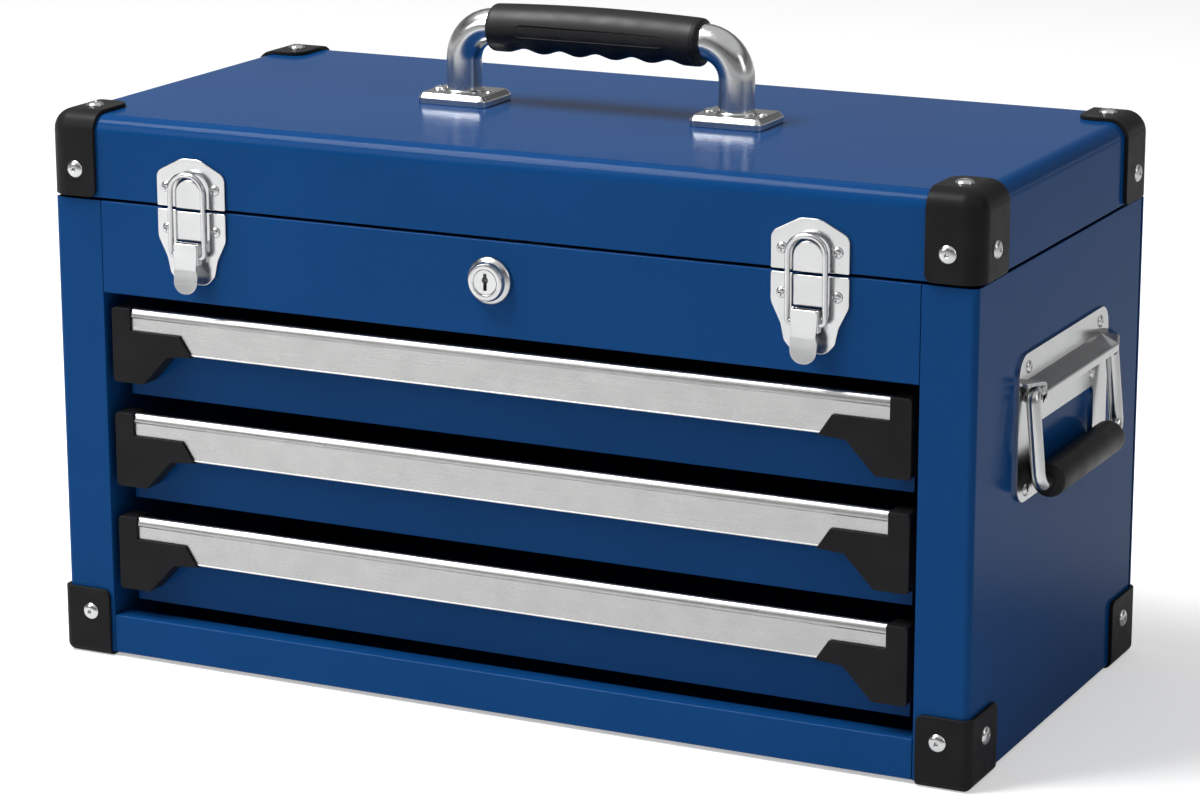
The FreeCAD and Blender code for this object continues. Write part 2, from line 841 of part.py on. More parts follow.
def bearing_ball():
    """One ball, with flats for its curve."""
    body = new_body("bearing_ball")
    middle = outline(body, "ball_middle", "XY_Plane",
                     regular(ZERO, ZERO, q.ball_radius, BALL_SIDES), offset=-q.ball_radius)
    pad(body, middle, q.ball_radius * 2)
    octagon_share = 2 - math.sqrt(2)
    rounded(body, "Chamfer", lambda edge: not runs_along(edge, 2),
            q.ball_radius * round(octagon_share, 6))
    return body


def balls(name, side, ball):
    """The steel balls of one slide, above and below."""
    return [copy_of(ball, "%s_%s_%d" % (name, row, n), ball_line * side, place, level)
            for row, level in (("upper", raceway_level), ("lower", -raceway_level))
            for n, place in enumerate(ball_places, start=1)]


def drawer_level(number):
    """The height of the top of a drawer's caps; drawer 1 is the uppermost."""
    return opening_head - q.drawer_head_gap - (drawer_face_height + q.drawer_gap) * (number - 1)


# The drawers, each drawn with its top at zero and then lifted to its level

def drawer_tray(name):
    """A sheet tray whose front is set back, with a ledge at its head that carries the pull."""
    body = new_body(name)
    face_half = opening_half - q.drawer_face_margin
    ledge = -q.pull_nose_height
    foot = -drawer_face_height
    face = outline(body, name + "_face", "YZ_Plane", [
        (face_front, foot), (face_back, foot), (face_back, ledge), (face_front, ledge)],
        offset=-face_half)
    pad(body, face, face_half * 2)
    ledge_front = pull_front + q.pull_wall
    shelf = outline(body, name + "_ledge", "YZ_Plane", [
        (ledge_front, ledge), (face_front, ledge), (face_front, ledge - q.drawer_sheet),
        (ledge_front, ledge - q.drawer_sheet)], offset=-pull_half)
    pad(body, shelf, pull_half * 2)
    walls = outline(body, name + "_walls", "XY_Plane", rectangle(
        -drawer_half, face_back, drawer_half, drawer_rear), offset=drawer_floor)
    pad(body, walls, drawer_wall_height)
    inner = drawer_half - q.drawer_sheet
    inside = outline(body, name + "_inside", "XY_Plane", rectangle(
        -inner, face_back, inner, drawer_rear - q.drawer_sheet),
        offset=drawer_floor + drawer_wall_height + q.overrun)
    pocket(body, inside, drawer_wall_height + q.overrun - q.drawer_sheet)
    return body


def rectangle(left, front, right, back):
    return [(left, front), (right, front), (right, back), (left, back)]


def drawer_pull(name):
    """The aluminium strip: a rounded nose over the ledge, a flat front and a lip turned in."""
    body = new_body(name)
    behind = pull_front + q.pull_wall
    nose_back = pull_front + q.pull_nose_depth
    lip_back = pull_front + q.pull_lip_depth
    foot = -pull_height
    section = outline(body, name + "_section", "YZ_Plane", [
        (pull_front, foot), (pull_front, ZERO), (nose_back, ZERO), (nose_back, -q.pull_nose_height),
        (behind, -q.pull_nose_height), (behind, foot + q.pull_wall), (lip_back, foot + q.pull_wall),
        (lip_back, foot)], offset=-pull_half)
    pad(body, section, pull_half * 2)
    rounded(body, "Fillet", lambda edge: runs_along(edge, 0) and (
        lies_at(edge, y=pull_front, z=ZERO) or lies_at(edge, y=nose_back, z=ZERO)),
        q.pull_nose_radius)
    return body


def end_cap(name, side):
    """The moulded bracket at one end of a pull, whose front skin covers the pull's lower half."""
    body = new_body(name)
    outer = cap_outer
    step = -drawer_face_height * q.cap_step_share
    tip = -pull_height - q.cap_tip_overhang
    under = -pull_height - q.cap_under_overhang
    shape = [(outer, ZERO), (outer - q.cap_arm_width, ZERO),
             (outer - q.cap_arm_width, step),
             (outer - q.cap_step_reach, step),
             (outer - q.cap_tip_reach, tip),
             (outer - q.cap_under_reach, under),
             (outer - q.cap_foot_width, -cap_height), (outer, -cap_height)]
    front = outline(body, name + "_front", "XZ_Plane",
                    [(x * side, z) for x, z in shape], offset=-cap_front)
    pad(body, front, face_front - cap_front, away=True)
    rounded(body, "Fillet", lambda edge: runs_along(edge, 1) and (
        lies_at(edge, x=outer * side, z=ZERO) or lies_at(edge, x=outer * side, z=-cap_height)),
        q.pull_nose_radius)
    slot_end = (pull_half + q.cap_fit) * side
    slot_tip = (outer - q.cap_tip_reach - q.overrun) * side
    slot = outline(body, name + "_slot", "XY_Plane", [
        (slot_end, pull_front), (slot_tip, pull_front),
        (slot_tip, pull_front + q.pull_lip_depth + q.cap_fit),
        (slot_end, pull_front + q.pull_lip_depth + q.cap_fit)], offset=q.overrun)
    pocket(body, slot, pull_height + q.cap_fit + q.overrun)
    return body


# The lid: a shell folded from one sheet, with rounded upper edges

def lid_form(name):
    """The lid's outer form, which the shell is hollowed from and the guards are shaped over."""
    body = new_body(name)
    plan = outline(body, name + "_plan", "XY_Plane", rectangle(
        -case_half, -depth_half, case_half, depth_half), offset=lid_foot)
    pad(body, plan, q.lid_height)
    rounded(body, "Fillet", lambda edge: runs_along(edge, 2) or lies_at(edge, z=lid_top),
            q.lid_edge_radius)
    return body


def lid_shell():
    body = lid_form("lid_shell")
    form = body.Tip
    under = ["Face%d" % n for n, face in enumerate(form.Shape.Faces, start=1)
             if abs(face.CenterOfMass.z - float(lid_foot)) < NEAR]
    hollow = body.newObject("PartDesign::Thickness", "lid_hollow")
    hollow.Base = (form, under)
    hollow.Reversed = True
    hollow.setExpression("Value", q.lid_sheet.text)
    doc.recompute()
    return keep(body, "lid_shell")


# The corner guards, moulded over the corners of the lid and of the case

def corner_guard(name, side, end, foot, head, closed, radius, form):
    """A block over one corner, rounded where it is closed, less the corner that it covers."""
    body = new_body(name + "_block")
    out_x = (case_half + q.guard_wall) * side
    in_x = (case_half + q.guard_wall - q.guard_front) * side
    out_y = (depth_half + q.guard_wall) * end
    in_y = (depth_half + q.guard_wall - q.guard_side) * end
    free = foot if closed is head else head
    plan = outline(body, name + "_plan", "XY_Plane", rectangle(in_x, in_y, out_x, out_y), offset=foot)
    pad(body, plan, head - foot)
    rounded(body, "Fillet", lambda edge: (
        runs_along(edge, 2) and lies_at(edge, x=out_x, y=out_y)
        or runs_along(edge, 0) and lies_at(edge, y=out_y, z=closed)
        or runs_along(edge, 1) and lies_at(edge, x=out_x, z=closed)), radius)
    shell = cut(name + "_shell", body, form)
    doc.recompute()
    corners = []
    for n, edge in enumerate(shell.Shape.Edges, start=1):
        if (runs_along(edge, 0) and lies_at(edge, y=in_y, z=free)
                or runs_along(edge, 1) and lies_at(edge, x=in_x, z=free)):
            corners.append((n, float(q.guard_corner_radius), float(q.guard_corner_radius)))
        elif runs_along(edge, 2) and lies_at(edge, x=in_x, y=in_y):
            corners.append((n, float(q.guard_top_radius), float(q.guard_top_radius)))
    guard = doc.addObject("Part::Fillet", name)
    guard.Base = shell
    guard.Edges = corners
    return guard


def case_form():
    """The case's outer form, which the lower guards are shaped over."""
    body = new_body("case_form")
    plan = outline(body, "case_form_plan", "XY_Plane", rectangle(
        -case_half, -depth_half, case_half, depth_half), offset=case_foot)
    pad(body, plan, q.case_height)
    rounded(body, "Fillet", lambda edge: runs_along(edge, 2) and edge.CenterOfMass.y < 0,
            q.case_corner_radius)
    return body


def corner_guards():
    lid_corner = lid_form("lid_corner_form")
    case_corner = case_form()
    upper_head = lid_top + q.guard_wall
    upper_radius = q.lid_edge_radius + q.guard_wall
    lower_head = case_foot + q.guard_lower_height
    for end, word in ((-1, "front"), (1, "rear")):
        upper = [corner_guard("upper_guard_%s_%s" % (word, hand), side, end, lid_foot, upper_head,
                              upper_head, upper_radius, lid_corner) for side, hand in HANDS]
        lower = [corner_guard("lower_guard_%s_%s" % (word, hand), side, end, ZERO, lower_head,
                              ZERO, q.guard_lower_radius, case_corner) for side, hand in HANDS]
        keep(group("upper_guards_" + word, upper), "lid_corner_guards_" + word)
        keep(group("lower_guards_" + word, lower), "case_corner_guards_" + word)


# The hinge along the back: two leaves whose knuckles take turns on one pin

knuckle_pitch = hinge_length / KNUCKLES


def hinge_leaf(name, direction, first, count):
    """A leaf below or above the pin, with every second knuckle."""
    body = new_body(name)
    edge = hinge_level + (q.hinge_knuckle_radius + q.hinge_gap) * direction
    far = hinge_level + (q.hinge_knuckle_radius + q.hinge_gap + q.hinge_leaf_height) * direction
    low, high = (edge, far) if direction > 0 else (far, edge)
    half = hinge_length / 2
    outer = depth_half + q.hinge_leaf
    plate = outline(body, name + "_plate", "YZ_Plane", [
        (depth_half, low), (outer, low), (outer, high), (depth_half, high)], offset=-half)
    pad(body, plate, hinge_length)
    start = knuckle_pitch * first - half + q.hinge_gap / 2
    length = knuckle_pitch - q.hinge_gap
    strap_front = hinge_out - q.hinge_knuckle_radius
    strap_low, strap_high = (hinge_level, low) if direction > 0 else (high, hinge_level)
    strap = outline(body, name + "_strap", "YZ_Plane", [
        (strap_front, strap_low), (outer, strap_low), (outer, strap_high),
        (strap_front, strap_high)], offset=start)
    strap_pad = pad(body, strap, length)
    barrel = circles(body, name + "_barrel", "YZ_Plane", [
        (hinge_out, hinge_level, q.hinge_knuckle_radius)], offset=start)
    barrel_pad = pad(body, barrel, length)
    along_x(body, [strap_pad, barrel_pad], knuckle_pitch * 2, count)
    bore = circles(body, name + "_bore", "YZ_Plane", [
        (hinge_out, hinge_level, q.hinge_pin_radius + q.hinge_pin_clearance)],
        offset=half + q.overrun)
    pocket(body, bore, hinge_length + q.overrun * 2)
    return keep(body, name)


def hinge_pin():
    half = hinge_length / 2
    pin = add_cylinder("hinge_pin", (-half, hinge_out, hinge_level), Vector(1, 0, 0),
                       q.hinge_pin_radius, hinge_length)
    return keep(pin, "hinge_pin")


# The draw latches: a catch on the lid, and on the case a base whose lever pulls a wire loop

def latch_catch(name, side):
    """The catch plate, arched at its head, with a raised tongue inside the wire loop."""
    body = new_body(name)
    foot = lid_foot + q.latch_edge_gap
    shoulder = foot + q.catch_shoulder
    arch = foot + q.catch_arch_lift
    half = q.latch_half_width
    plate = outline(body, name + "_plate", "XZ_Plane", [
        (-half, foot), (half, foot), (half, shoulder), (-half, shoulder)], offset=depth_half)
    pad(body, plate, q.latch_plate)
    rounded(body, "Fillet", lambda edge: runs_along(edge, 1), q.base_corner_radius)
    crown = circles(body, name + "_arch", "XZ_Plane", [(ZERO, arch, q.catch_arch_radius)],
                    offset=depth_half)
    pad(body, crown, q.latch_plate)
    below = outline(body, name + "_below", "XZ_Plane", rectangle(
        -half, foot - q.catch_arch_radius, half, foot), offset=depth_half + q.latch_plate + q.overrun)
    pocket(body, below, q.latch_plate + q.overrun * 2)
    tongue_half = q.catch_tongue_half_width
    tongue_top = foot + q.catch_tongue_height
    face = depth_half + q.latch_plate
    tongue = outline(body, name + "_tongue", "XZ_Plane", [
        (-tongue_half, foot), (tongue_half, foot), (tongue_half, tongue_top - tongue_half),
        (-tongue_half, tongue_top - tongue_half)], offset=face)
    pad(body, tongue, q.catch_tongue_raise)
    head = circles(body, name + "_tongue_head", "XZ_Plane", [
        (ZERO, tongue_top - tongue_half, tongue_half)], offset=face)
    pad(body, head, q.catch_tongue_raise)
    move_to(body, x=latch_place * side)
    return keep(body, name)


def latch_base(name, side):
    """The base plate, tapered below, with a raised boss and the barrel that the lever turns on."""
    body = new_body(name)
    head = case_top - q.latch_edge_gap
    half = q.latch_half_width
    low = head - q.base_height
    plate = outline(body, name + "_plate", "XZ_Plane", [
        (-half, head), (half, head), (half, head - q.base_shoulder),
        (q.base_foot_half_width, head - q.base_taper), (q.base_tip_half_width, low),
        (-q.base_tip_half_width, low), (-q.base_foot_half_width, head - q.base_taper),
        (-half, head - q.base_shoulder)], offset=depth_half)
    pad(body, plate, q.latch_plate)
    rounded(body, "Fillet", lambda edge: runs_along(edge, 1), q.base_corner_radius)
    face = depth_half + q.latch_plate
    boss_foot = lever_pivot_level + q.boss_gap
    boss = outline(body, name + "_boss", "XZ_Plane", [
        (-q.boss_half_width, boss_foot), (q.boss_half_width, boss_foot), (q.boss_half_width, head),
        (-q.boss_half_width, head)], offset=face)
    pad(body, boss, q.boss_raise)
    barrel_half = q.lever_barrel_half_width
    radius = q.lever_barrel_radius
    lug = outline(body, name + "_lug", "YZ_Plane", [
        (-face, lever_pivot_level - radius), (-face, lever_pivot_level + radius),
        (lever_pivot_depth, lever_pivot_level + radius),
        (lever_pivot_depth, lever_pivot_level - radius)], offset=-barrel_half)
    pad(body, lug, barrel_half * 2)
    barrel = circles(body, name + "_barrel", "YZ_Plane", [
        (lever_pivot_depth, lever_pivot_level, radius)], offset=-barrel_half)
    pad(body, barrel, barrel_half * 2)
    bore = circles(body, name + "_bore", "YZ_Plane", [
        (lever_pivot_depth, lever_pivot_level, q.lever_pin_radius + q.lever_pin_clearance)],
        offset=barrel_half + q.overrun)
    pocket(body, bore, (barrel_half + q.overrun) * 2)
    move_to(body, x=latch_place * side)
    return keep(body, name)


def latch_lever(name, side):
    """The lever: a pressed face with two cheeks on the pin, narrowed to a tab kicked outwards."""
    face = lever_pivot_depth - q.lever_face_out
    back = face + q.lever_wall
    head = lever_pivot_level + q.lever_head
    kink = lever_pivot_level - q.lever_kink_drop
    tip = lever_pivot_level - q.lever_tip_drop
    skin = new_body(name + "_skin")
    section = outline(skin, name + "_section", "YZ_Plane", [
        (face, head), (back, head), (back, kink), (back - q.lever_tip_out, tip),
        (face - q.lever_tip_out, tip), (face, kink)], offset=-q.lever_half_width)
    pad(skin, section, q.lever_half_width * 2)
    shape = new_body(name + "_shape")
    waist = lever_pivot_level - q.lever_waist_drop
    half_points = [(q.lever_half_width, head + q.overrun),
                   (q.lever_half_width, lever_pivot_level - q.lever_cheek),
                   (q.lever_waist_half_width, waist), (q.lever_tip_half_width, kink),
                   (q.lever_tip_half_width, tip - q.overrun)]
    front = outline(shape, name + "_front", "XZ_Plane",
                    half_points + [(-x, z) for x, z in reversed(half_points)],
                    offset=-back)
    pad(shape, front, q.lever_wall + q.lever_tip_out + q.overrun)
    pressed = common(name + "_pressed", skin, shape)
    cheek_back = lever_pivot_depth + q.lever_cheek_depth
    pieces = [pressed]
    for hand in (1, -1):
        inner = q.lever_half_width - q.lever_wall
        left, right = (inner, q.lever_half_width) if hand > 0 else (-q.lever_half_width, -inner)
        pieces.append(add_box("%s_cheek_%s" % (name, "right" if hand > 0 else "left"),
                              (left, back, lever_pivot_level - q.lever_cheek),
                              (right, cheek_back, head)))
    pin = add_cylinder(name + "_pin", (-q.lever_half_width, lever_pivot_depth, lever_pivot_level),
                       Vector(1, 0, 0), q.lever_pin_radius, q.lever_half_width * 2)
    pieces.append(pin)
    whole = join(name + "_whole", pieces)
    holes = add_cylinder(name + "_wire_holes",
                         (-q.lever_half_width - q.overrun, wire_depth, wire_pivot_level),
                         Vector(1, 0, 0), q.wire_radius + q.wire_hole_clearance,
                         (q.lever_half_width + q.overrun) * 2)
    lever = cut(name, whole, holes)
    move_to(lever, x=latch_place * side)
    return keep(lever, name)


def latch_wire(name, side):
    """The wire loop: its two ends turn in through the lever's cheeks, and its head goes over."""
    body = new_body(name)
    half = q.wire_half_width
    top = wire_pivot_level + q.wire_reach
    route = bent_route(body, name + "_route", "XZ_Plane", [
        (-q.wire_stub_inset, wire_pivot_level), (-half, wire_pivot_level), (-half, top),
        (half, top), (half, wire_pivot_level), (q.wire_stub_inset, wire_pivot_level)],
        [q.wire_bend_radius, q.wire_top_radius, q.wire_top_radius, q.wire_bend_radius],
        offset=-wire_depth)
    ring = outline(body, name + "_section", "YZ_Plane", regular(
        wire_depth, wire_pivot_level, q.wire_radius, WIRE_SIDES), offset=-q.wire_stub_inset)
    swept(body, ring, route)
    move_to(body, x=latch_place * side)
    return keep(body, name)


def swept(body, section, route):
    """Carry a section along a route, mitred where the route turns."""
    feature = body.newObject("PartDesign::AdditivePipe", route.Name + "_pipe")
    feature.Profile = section
    feature.Spine = (route, ["Edge%d" % n for n in range(1, len(route.Geometry) + 1)])
    feature.Transition = "Right corner"
    doc.recompute()
    return feature


# The cam lock in the top front panel, and the strike on the lid that its cam reaches over.
# Turned pieces are drawn with their axis upright, and laid down to point out of the front.

def lay_to_front(piece, x, z):
    piece.Placement.Rotation = Rotation(Vector(0, 0, 1), Vector(0, -1, 0))
    move_to(piece, x, -depth_half, z)


def lock_housing():
    body = new_body("lock_housing")
    bore = q.lock_plug_radius + q.lock_plug_clearance
    section = outline(body, "lock_housing_section", "XZ_Plane", [
        (bore, q.lock_face_out), (q.lock_face_radius, q.lock_face_out),
        (q.lock_rim_radius, q.lock_rim_edge), (q.lock_rim_radius, ZERO),
        (q.lock_barrel_radius, ZERO), (q.lock_barrel_radius, -q.lock_barrel_length),
        (bore, -q.lock_barrel_length)])
    turned(body, section)
    lay_to_front(body, ZERO, lock_level)
    return keep(body, "lock_housing")


def lock_nut():
    """The hexagon nut that clamps the housing from behind the panel."""
    body = new_body("lock_nut")
    half = q.lock_nut_half_width
    corner = half / math.cos(math.pi / 6)
    corners = [(corner * math.cos(math.pi / 3 * n), corner * math.sin(math.pi / 3 * n))
               for n in range(6)]
    front = -q.case_sheet
    hexagon = outline(body, "lock_nut_hexagon", "XY_Plane", corners, offset=front)
    pad(body, hexagon, q.lock_nut_thickness, away=True)
    bore = circles(body, "lock_nut_bore", "XY_Plane", [
        (ZERO, ZERO, q.lock_barrel_radius + q.lock_plug_clearance)], offset=q.overrun)
    pocket(body, bore, q.lock_nut_thickness + q.overrun * 2)
    lay_to_front(body, ZERO, lock_level)
    return keep(body, "lock_nut")


def lock_plug():
    """The plug that the key turns, with a square shank behind for the cam."""
    body = new_body("lock_plug")
    face = q.lock_face_out - q.lock_plug_sink
    rear = -q.lock_barrel_length - q.cam_shank_start
    disc = circles(body, "lock_plug_round", "XY_Plane", [(ZERO, ZERO, q.lock_plug_radius)],
                   offset=rear)
    pad(body, disc, face - rear)
    half = q.cam_shank_half_width
    shank = outline(body, "lock_plug_shank", "XY_Plane", rectangle(-half, -half, half, half),
                    offset=rear)
    pad(body, shank, q.cam_shank_length, away=True)
    slot_half = q.keyhole_half_width
    reach = q.keyhole_half_height
    slot = outline(body, "keyhole_slot", "XY_Plane", rectangle(-slot_half, -reach, slot_half, reach),
                   offset=face)
    pocket(body, slot, q.keyhole_depth)
    eye = circles(body, "keyhole_eye", "XY_Plane", [(ZERO, reach / 4, q.keyhole_radius)], offset=face)
    pocket(body, eye, q.keyhole_depth)
    lay_to_front(body, ZERO, lock_level)
    return keep(body, "lock_plug")


def lock_cam():
    """The cam on the shank: it points up when unlocked, and turns over the strike's foot."""
    body = new_body("lock_cam")
    half = q.cam_half_width
    head = -q.lock_barrel_length - q.cam_shank_start
    arm = outline(body, "lock_cam_arm", "XY_Plane", rectangle(-half, -half, half, q.cam_reach),
                  offset=head)
    pad(body, arm, q.cam_thickness, away=True)
    rounded(body, "Fillet", lambda edge: runs_along(edge, 2), half / 2)
    hole_half = q.cam_shank_half_width + q.cam_fit
    hole = outline(body, "lock_cam_hole", "XY_Plane", rectangle(
        -hole_half, -hole_half, hole_half, hole_half), offset=head + q.overrun)
    pocket(body, hole, q.cam_thickness + q.overrun * 2)
    lay_to_front(body, ZERO, lock_level)
    return keep(body, "lock_cam")


def lock_strike():
    """A bracket under the lid's top that hangs behind the cam, with a foot turned under it."""
    body = new_body("lock_strike")
    cam_back = (q.lock_barrel_length + q.cam_shank_start + q.cam_thickness) - depth_half
    hang_front = cam_back + q.strike_gap
    hang_back = hang_front + q.strike_wall
    head = lid_top - q.lid_sheet
    foot = lock_level - q.cam_half_width - q.strike_foot_drop
    foot_front = hang_front - q.strike_foot
    section = outline(body, "lock_strike_section", "YZ_Plane", [
        (hang_front, head - q.strike_wall), (hang_front, foot + q.strike_wall),
        (foot_front, foot + q.strike_wall), (foot_front, foot), (hang_back, foot),
        (hang_back, head - q.strike_wall), (hang_front + q.strike_flange, head - q.strike_wall),
        (hang_front + q.strike_flange, head), (hang_front, head)],
        offset=q.strike_inset)
    pad(body, section, q.strike_width)
    return keep(body, "lock_strike")


# The tube handle on the lid

def handle_foot(name, side):
    """A plate with sloped sides and a raised collar round the tube."""
    body = new_body(name)
    half_x = q.foot_length / 2
    half_y = q.foot_width / 2
    plate = outline(body, name + "_plate", "XY_Plane", rectangle(-half_x, -half_y, half_x, half_y),
                    offset=lid_top)
    pad(body, plate, q.foot_height)
    rounded(body, "Chamfer", lambda edge: runs_along(edge, 2), q.foot_corner_cut)
    top = lid_top + q.foot_height
    rounded(body, "Chamfer", lambda edge: lies_at(edge, z=top), q.foot_slope)
    collar = circles(body, name + "_collar", "XY_Plane", [(ZERO, ZERO, q.foot_collar_radius)],
                     offset=top)
    pad(body, collar, q.foot_collar_height)
    bore = circles(body, name + "_bore", "XY_Plane", [
        (ZERO, ZERO, q.handle_tube_radius + q.foot_bore_clearance)],
        offset=top + q.foot_collar_height + q.overrun)
    pocket(body, bore, q.foot_height + q.foot_collar_height + q.overrun * 2)
    move_to(body, x=q.handle_half_span * side)
    return keep(body, name)


def handle_tube():
    """One bent tube, its ends standing on the lid inside the feet."""
    body = new_body("handle_tube")
    span = q.handle_half_span
    route = bent_route(body, "handle_route", "XZ_Plane", [
        (-span, lid_top), (-span, handle_level), (span, handle_level), (span, lid_top)],
        [q.handle_bend_radius, q.handle_bend_radius])
    bore = q.handle_tube_radius - q.handle_tube_wall
    wall = outline(body, "handle_section", "XY_Plane",
                   regular(-span, ZERO, q.handle_tube_radius, TUBE_SIDES), offset=lid_top,
                   hole=regular(-span, ZERO, bore, TUBE_SIDES))
    swept(body, wall, route)
    return keep(body, "handle_tube")


def handle_grip():
    """A rubber sleeve on the tube, with finger hollows along its underside."""
    body = new_body("handle_grip")
    half = q.grip_half_length
    outer = outline(body, "grip_outer", "YZ_Plane",
                    regular(ZERO, handle_level, q.grip_radius, GRIP_SIDES), offset=-half)
    pad(body, outer, half * 2)
    rounded(body, "Chamfer", lambda edge: not runs_along(edge, 0), q.grip_edge_radius)
    hollow_level = (handle_level - q.grip_radius - q.grip_scallop_radius + q.grip_scallop_depth)
    first = q.grip_scallop_pitch * (1 - SCALLOPS) / 2
    hollow = outline(body, "grip_hollow", "XZ_Plane",
                     regular(first, hollow_level, q.grip_scallop_radius, GRIP_SIDES),
                     offset=q.grip_radius + q.overrun)
    hollow_pocket = pocket(body, hollow, (q.grip_radius + q.overrun) * 2)
    along_x(body, [hollow_pocket], q.grip_scallop_pitch, SCALLOPS)
    bore = circles(body, "grip_bore", "YZ_Plane", [
        (ZERO, handle_level, q.handle_tube_radius + q.grip_bore_clearance)],
                   offset=half + q.overrun)
    pocket(body, bore, (half + q.overrun) * 2)
    return keep(body, "handle_grip")


# The folding handles on the sides, drawn on the right and turned half round for the left

def to_side(piece, side):
    """Leave a piece on the right, or turn it half round the box's middle to the left."""
    piece.Placement.Rotation = Rotation(Vector(0, 0, 1), 0 if side > 0 else 180)


def side_plate(name, side):
    """The plate with its window, and a folded hood whose two ears hold the ends of the bail."""
    body = new_body(name)
    half = q.side_plate_half_length
    plate = outline(body, name + "_plate", "YZ_Plane", rectangle(
        -half, side_plate_low, half, side_plate_high), offset=case_half)
    pad(body, plate, q.side_plate_wall)
    rounded(body, "Fillet", lambda edge: runs_along(edge, 0), q.side_plate_corner_radius)
    window_half = q.side_window_half_length
    window = outline(body, name + "_window", "YZ_Plane", rectangle(
        -window_half, side_window_low, window_half, side_window_high),
        offset=side_plate_out + q.overrun)
    pocket(body, window, q.side_plate_wall + q.overrun * 2)
    rounded(body, "Fillet", lambda edge: runs_along(edge, 0) and any(
        lies_at(edge, y=y, z=z) for y in (window_half, -window_half)
        for z in (side_window_low, side_window_high)), q.side_window_radius)
    hood_foot = hood_high - q.hood_height
    hood_half = q.hood_half_length
    hood = outline(body, name + "_hood", "YZ_Plane", rectangle(
        -hood_half, hood_foot, hood_half, hood_high), offset=side_plate_out)
    pad(body, hood, q.hood_out)
    rounded(body, "Fillet", lambda edge: runs_along(edge, 1) and lies_at(
        edge, x=side_plate_out + q.hood_out, z=hood_high), q.hood_wall)
    ear_out = q.hood_ear_reach
    ear_in = ear_out - q.hood_ear
    under_roof = q.hood_height - q.hood_wall + q.overrun
    lip_back = side_plate_out + q.hood_out - q.hood_wall
    inside = outline(body, name + "_hood_inside", "XY_Plane", rectangle(
        side_plate_out, -ear_in, lip_back, ear_in), offset=hood_foot - q.overrun)
    pocket(body, inside, under_roof, away=True)
    for word, near, far in (("near", -hood_half - q.overrun, -ear_out),
                            ("far", ear_out, hood_half + q.overrun)):
        notch = outline(body, "%s_notch_%s" % (name, word), "XY_Plane", rectangle(
            side_plate_out, near, side_plate_out + q.hood_out + q.overrun, far),
            offset=hood_foot - q.overrun)
        pocket(body, notch, under_roof, away=True)
    bore = circles(body, name + "_bore", "XZ_Plane", [
        (bail_pivot_out, bail_pivot_level, q.bail_radius + q.hood_bore_clearance)],
        offset=hood_half + q.overrun)
    pocket(body, bore, (hood_half + q.overrun) * 2)
    to_side(body, side)
    return keep(body, name)


# The bail hangs from its pivot and leans out until the grip is clear of the plate
lean_reach = q.side_grip_radius + q.side_grip_gap - q.bail_pivot_out
LEAN = Size(math.degrees(math.asin(float(lean_reach) / float(q.bail_drop))),
            "asin(%s / %s)" % (lean_reach.text, q.bail_drop.text))


def hang(piece, side):
    """Hang a piece, drawn with the pivot at its origin, from the pivot of one side's hood."""
    piece.Placement.Rotation = Rotation(Vector(0, -1, 0), 1)
    piece.setExpression("Placement.Rotation.Angle", (LEAN * side).text)
    move_to(piece, bail_pivot_out * side, ZERO, bail_pivot_level)


def side_bail(name, side):
    body = new_body(name)
    half = q.bail_half_length
    route = bent_route(body, name + "_route", "YZ_Plane", [
        (-q.bail_stub, ZERO), (-half, ZERO), (-half, -q.bail_drop), (half, -q.bail_drop),
        (half, ZERO), (q.bail_stub, ZERO)],
        [q.bail_head_radius, q.bail_bend_radius, q.bail_bend_radius, q.bail_head_radius])
    ring = outline(body, name + "_section", "XZ_Plane",
                   regular(ZERO, ZERO, q.bail_radius, BAIL_SIDES), offset=q.bail_stub)
    swept(body, ring, route)
    hang(body, side)
    return keep(body, name)


def side_grip(name, side):
    body = new_body(name)
    half = q.side_grip_half_length
    outer = outline(body, name + "_outer", "XZ_Plane",
                    regular(ZERO, -q.bail_drop, q.side_grip_radius, GRIP_SIDES), offset=half)
    pad(body, outer, half * 2, away=True)
    rounded(body, "Chamfer", lambda edge: not runs_along(edge, 1), q.side_grip_edge_radius)
    bore = circles(body, name + "_bore", "XZ_Plane", [
        (ZERO, -q.bail_drop, q.bail_radius + q.grip_bore_clearance)],
                   offset=half + q.overrun)
    pocket(body, bore, (half + q.overrun) * 2)
    hang(body, side)
    return keep(body, name)


# Rivets and screws: one head is drawn, and a group sets copies of it on their seats

def low_head(name, radius, height, bevel):
    """A low head with bevelled sides."""
    body = new_body(name)
    seat = outline(body, name + "_seat", "XY_Plane", regular(ZERO, ZERO, radius, RIVET_SIDES))
    pad(body, seat, height)
    rounded(body, "Chamfer", lambda edge: lies_at(edge, z=height), bevel)
    return body


def set_heads(name, places):
    """Copies of a head, each with its base on a seat and its axis along the seat's normal."""
    copies = [copy_of(head, "%s_%d" % (name, n), x, y, z, Rotation(Vector(0, 0, 1), Vector(*normal)))
              for n, (head, x, y, z, normal) in enumerate(places, start=1)]
    return keep(group(name + "_group", copies), name)


def guard_rivets(head, foot_level, top_level, normal_top):
    """A rivet on the front or back, one on the side and one on top or under each corner guard."""
    places = []
    for side in (1, -1):
        for end in (-1, 1):
            face_y = (depth_half + q.guard_wall) * end
            face_x = (case_half + q.guard_wall) * side
            x = (case_half - q.guard_rivet_reach) * side
            y = (depth_half - q.guard_rivet_side_reach) * end
            places.append((head, x, face_y, foot_level, (0, end, 0)))
            places.append((head, face_x, y, foot_level, (side, 0, 0)))
            if normal_top:
                places.append((head, x, y, top_level, normal_top))
    return places


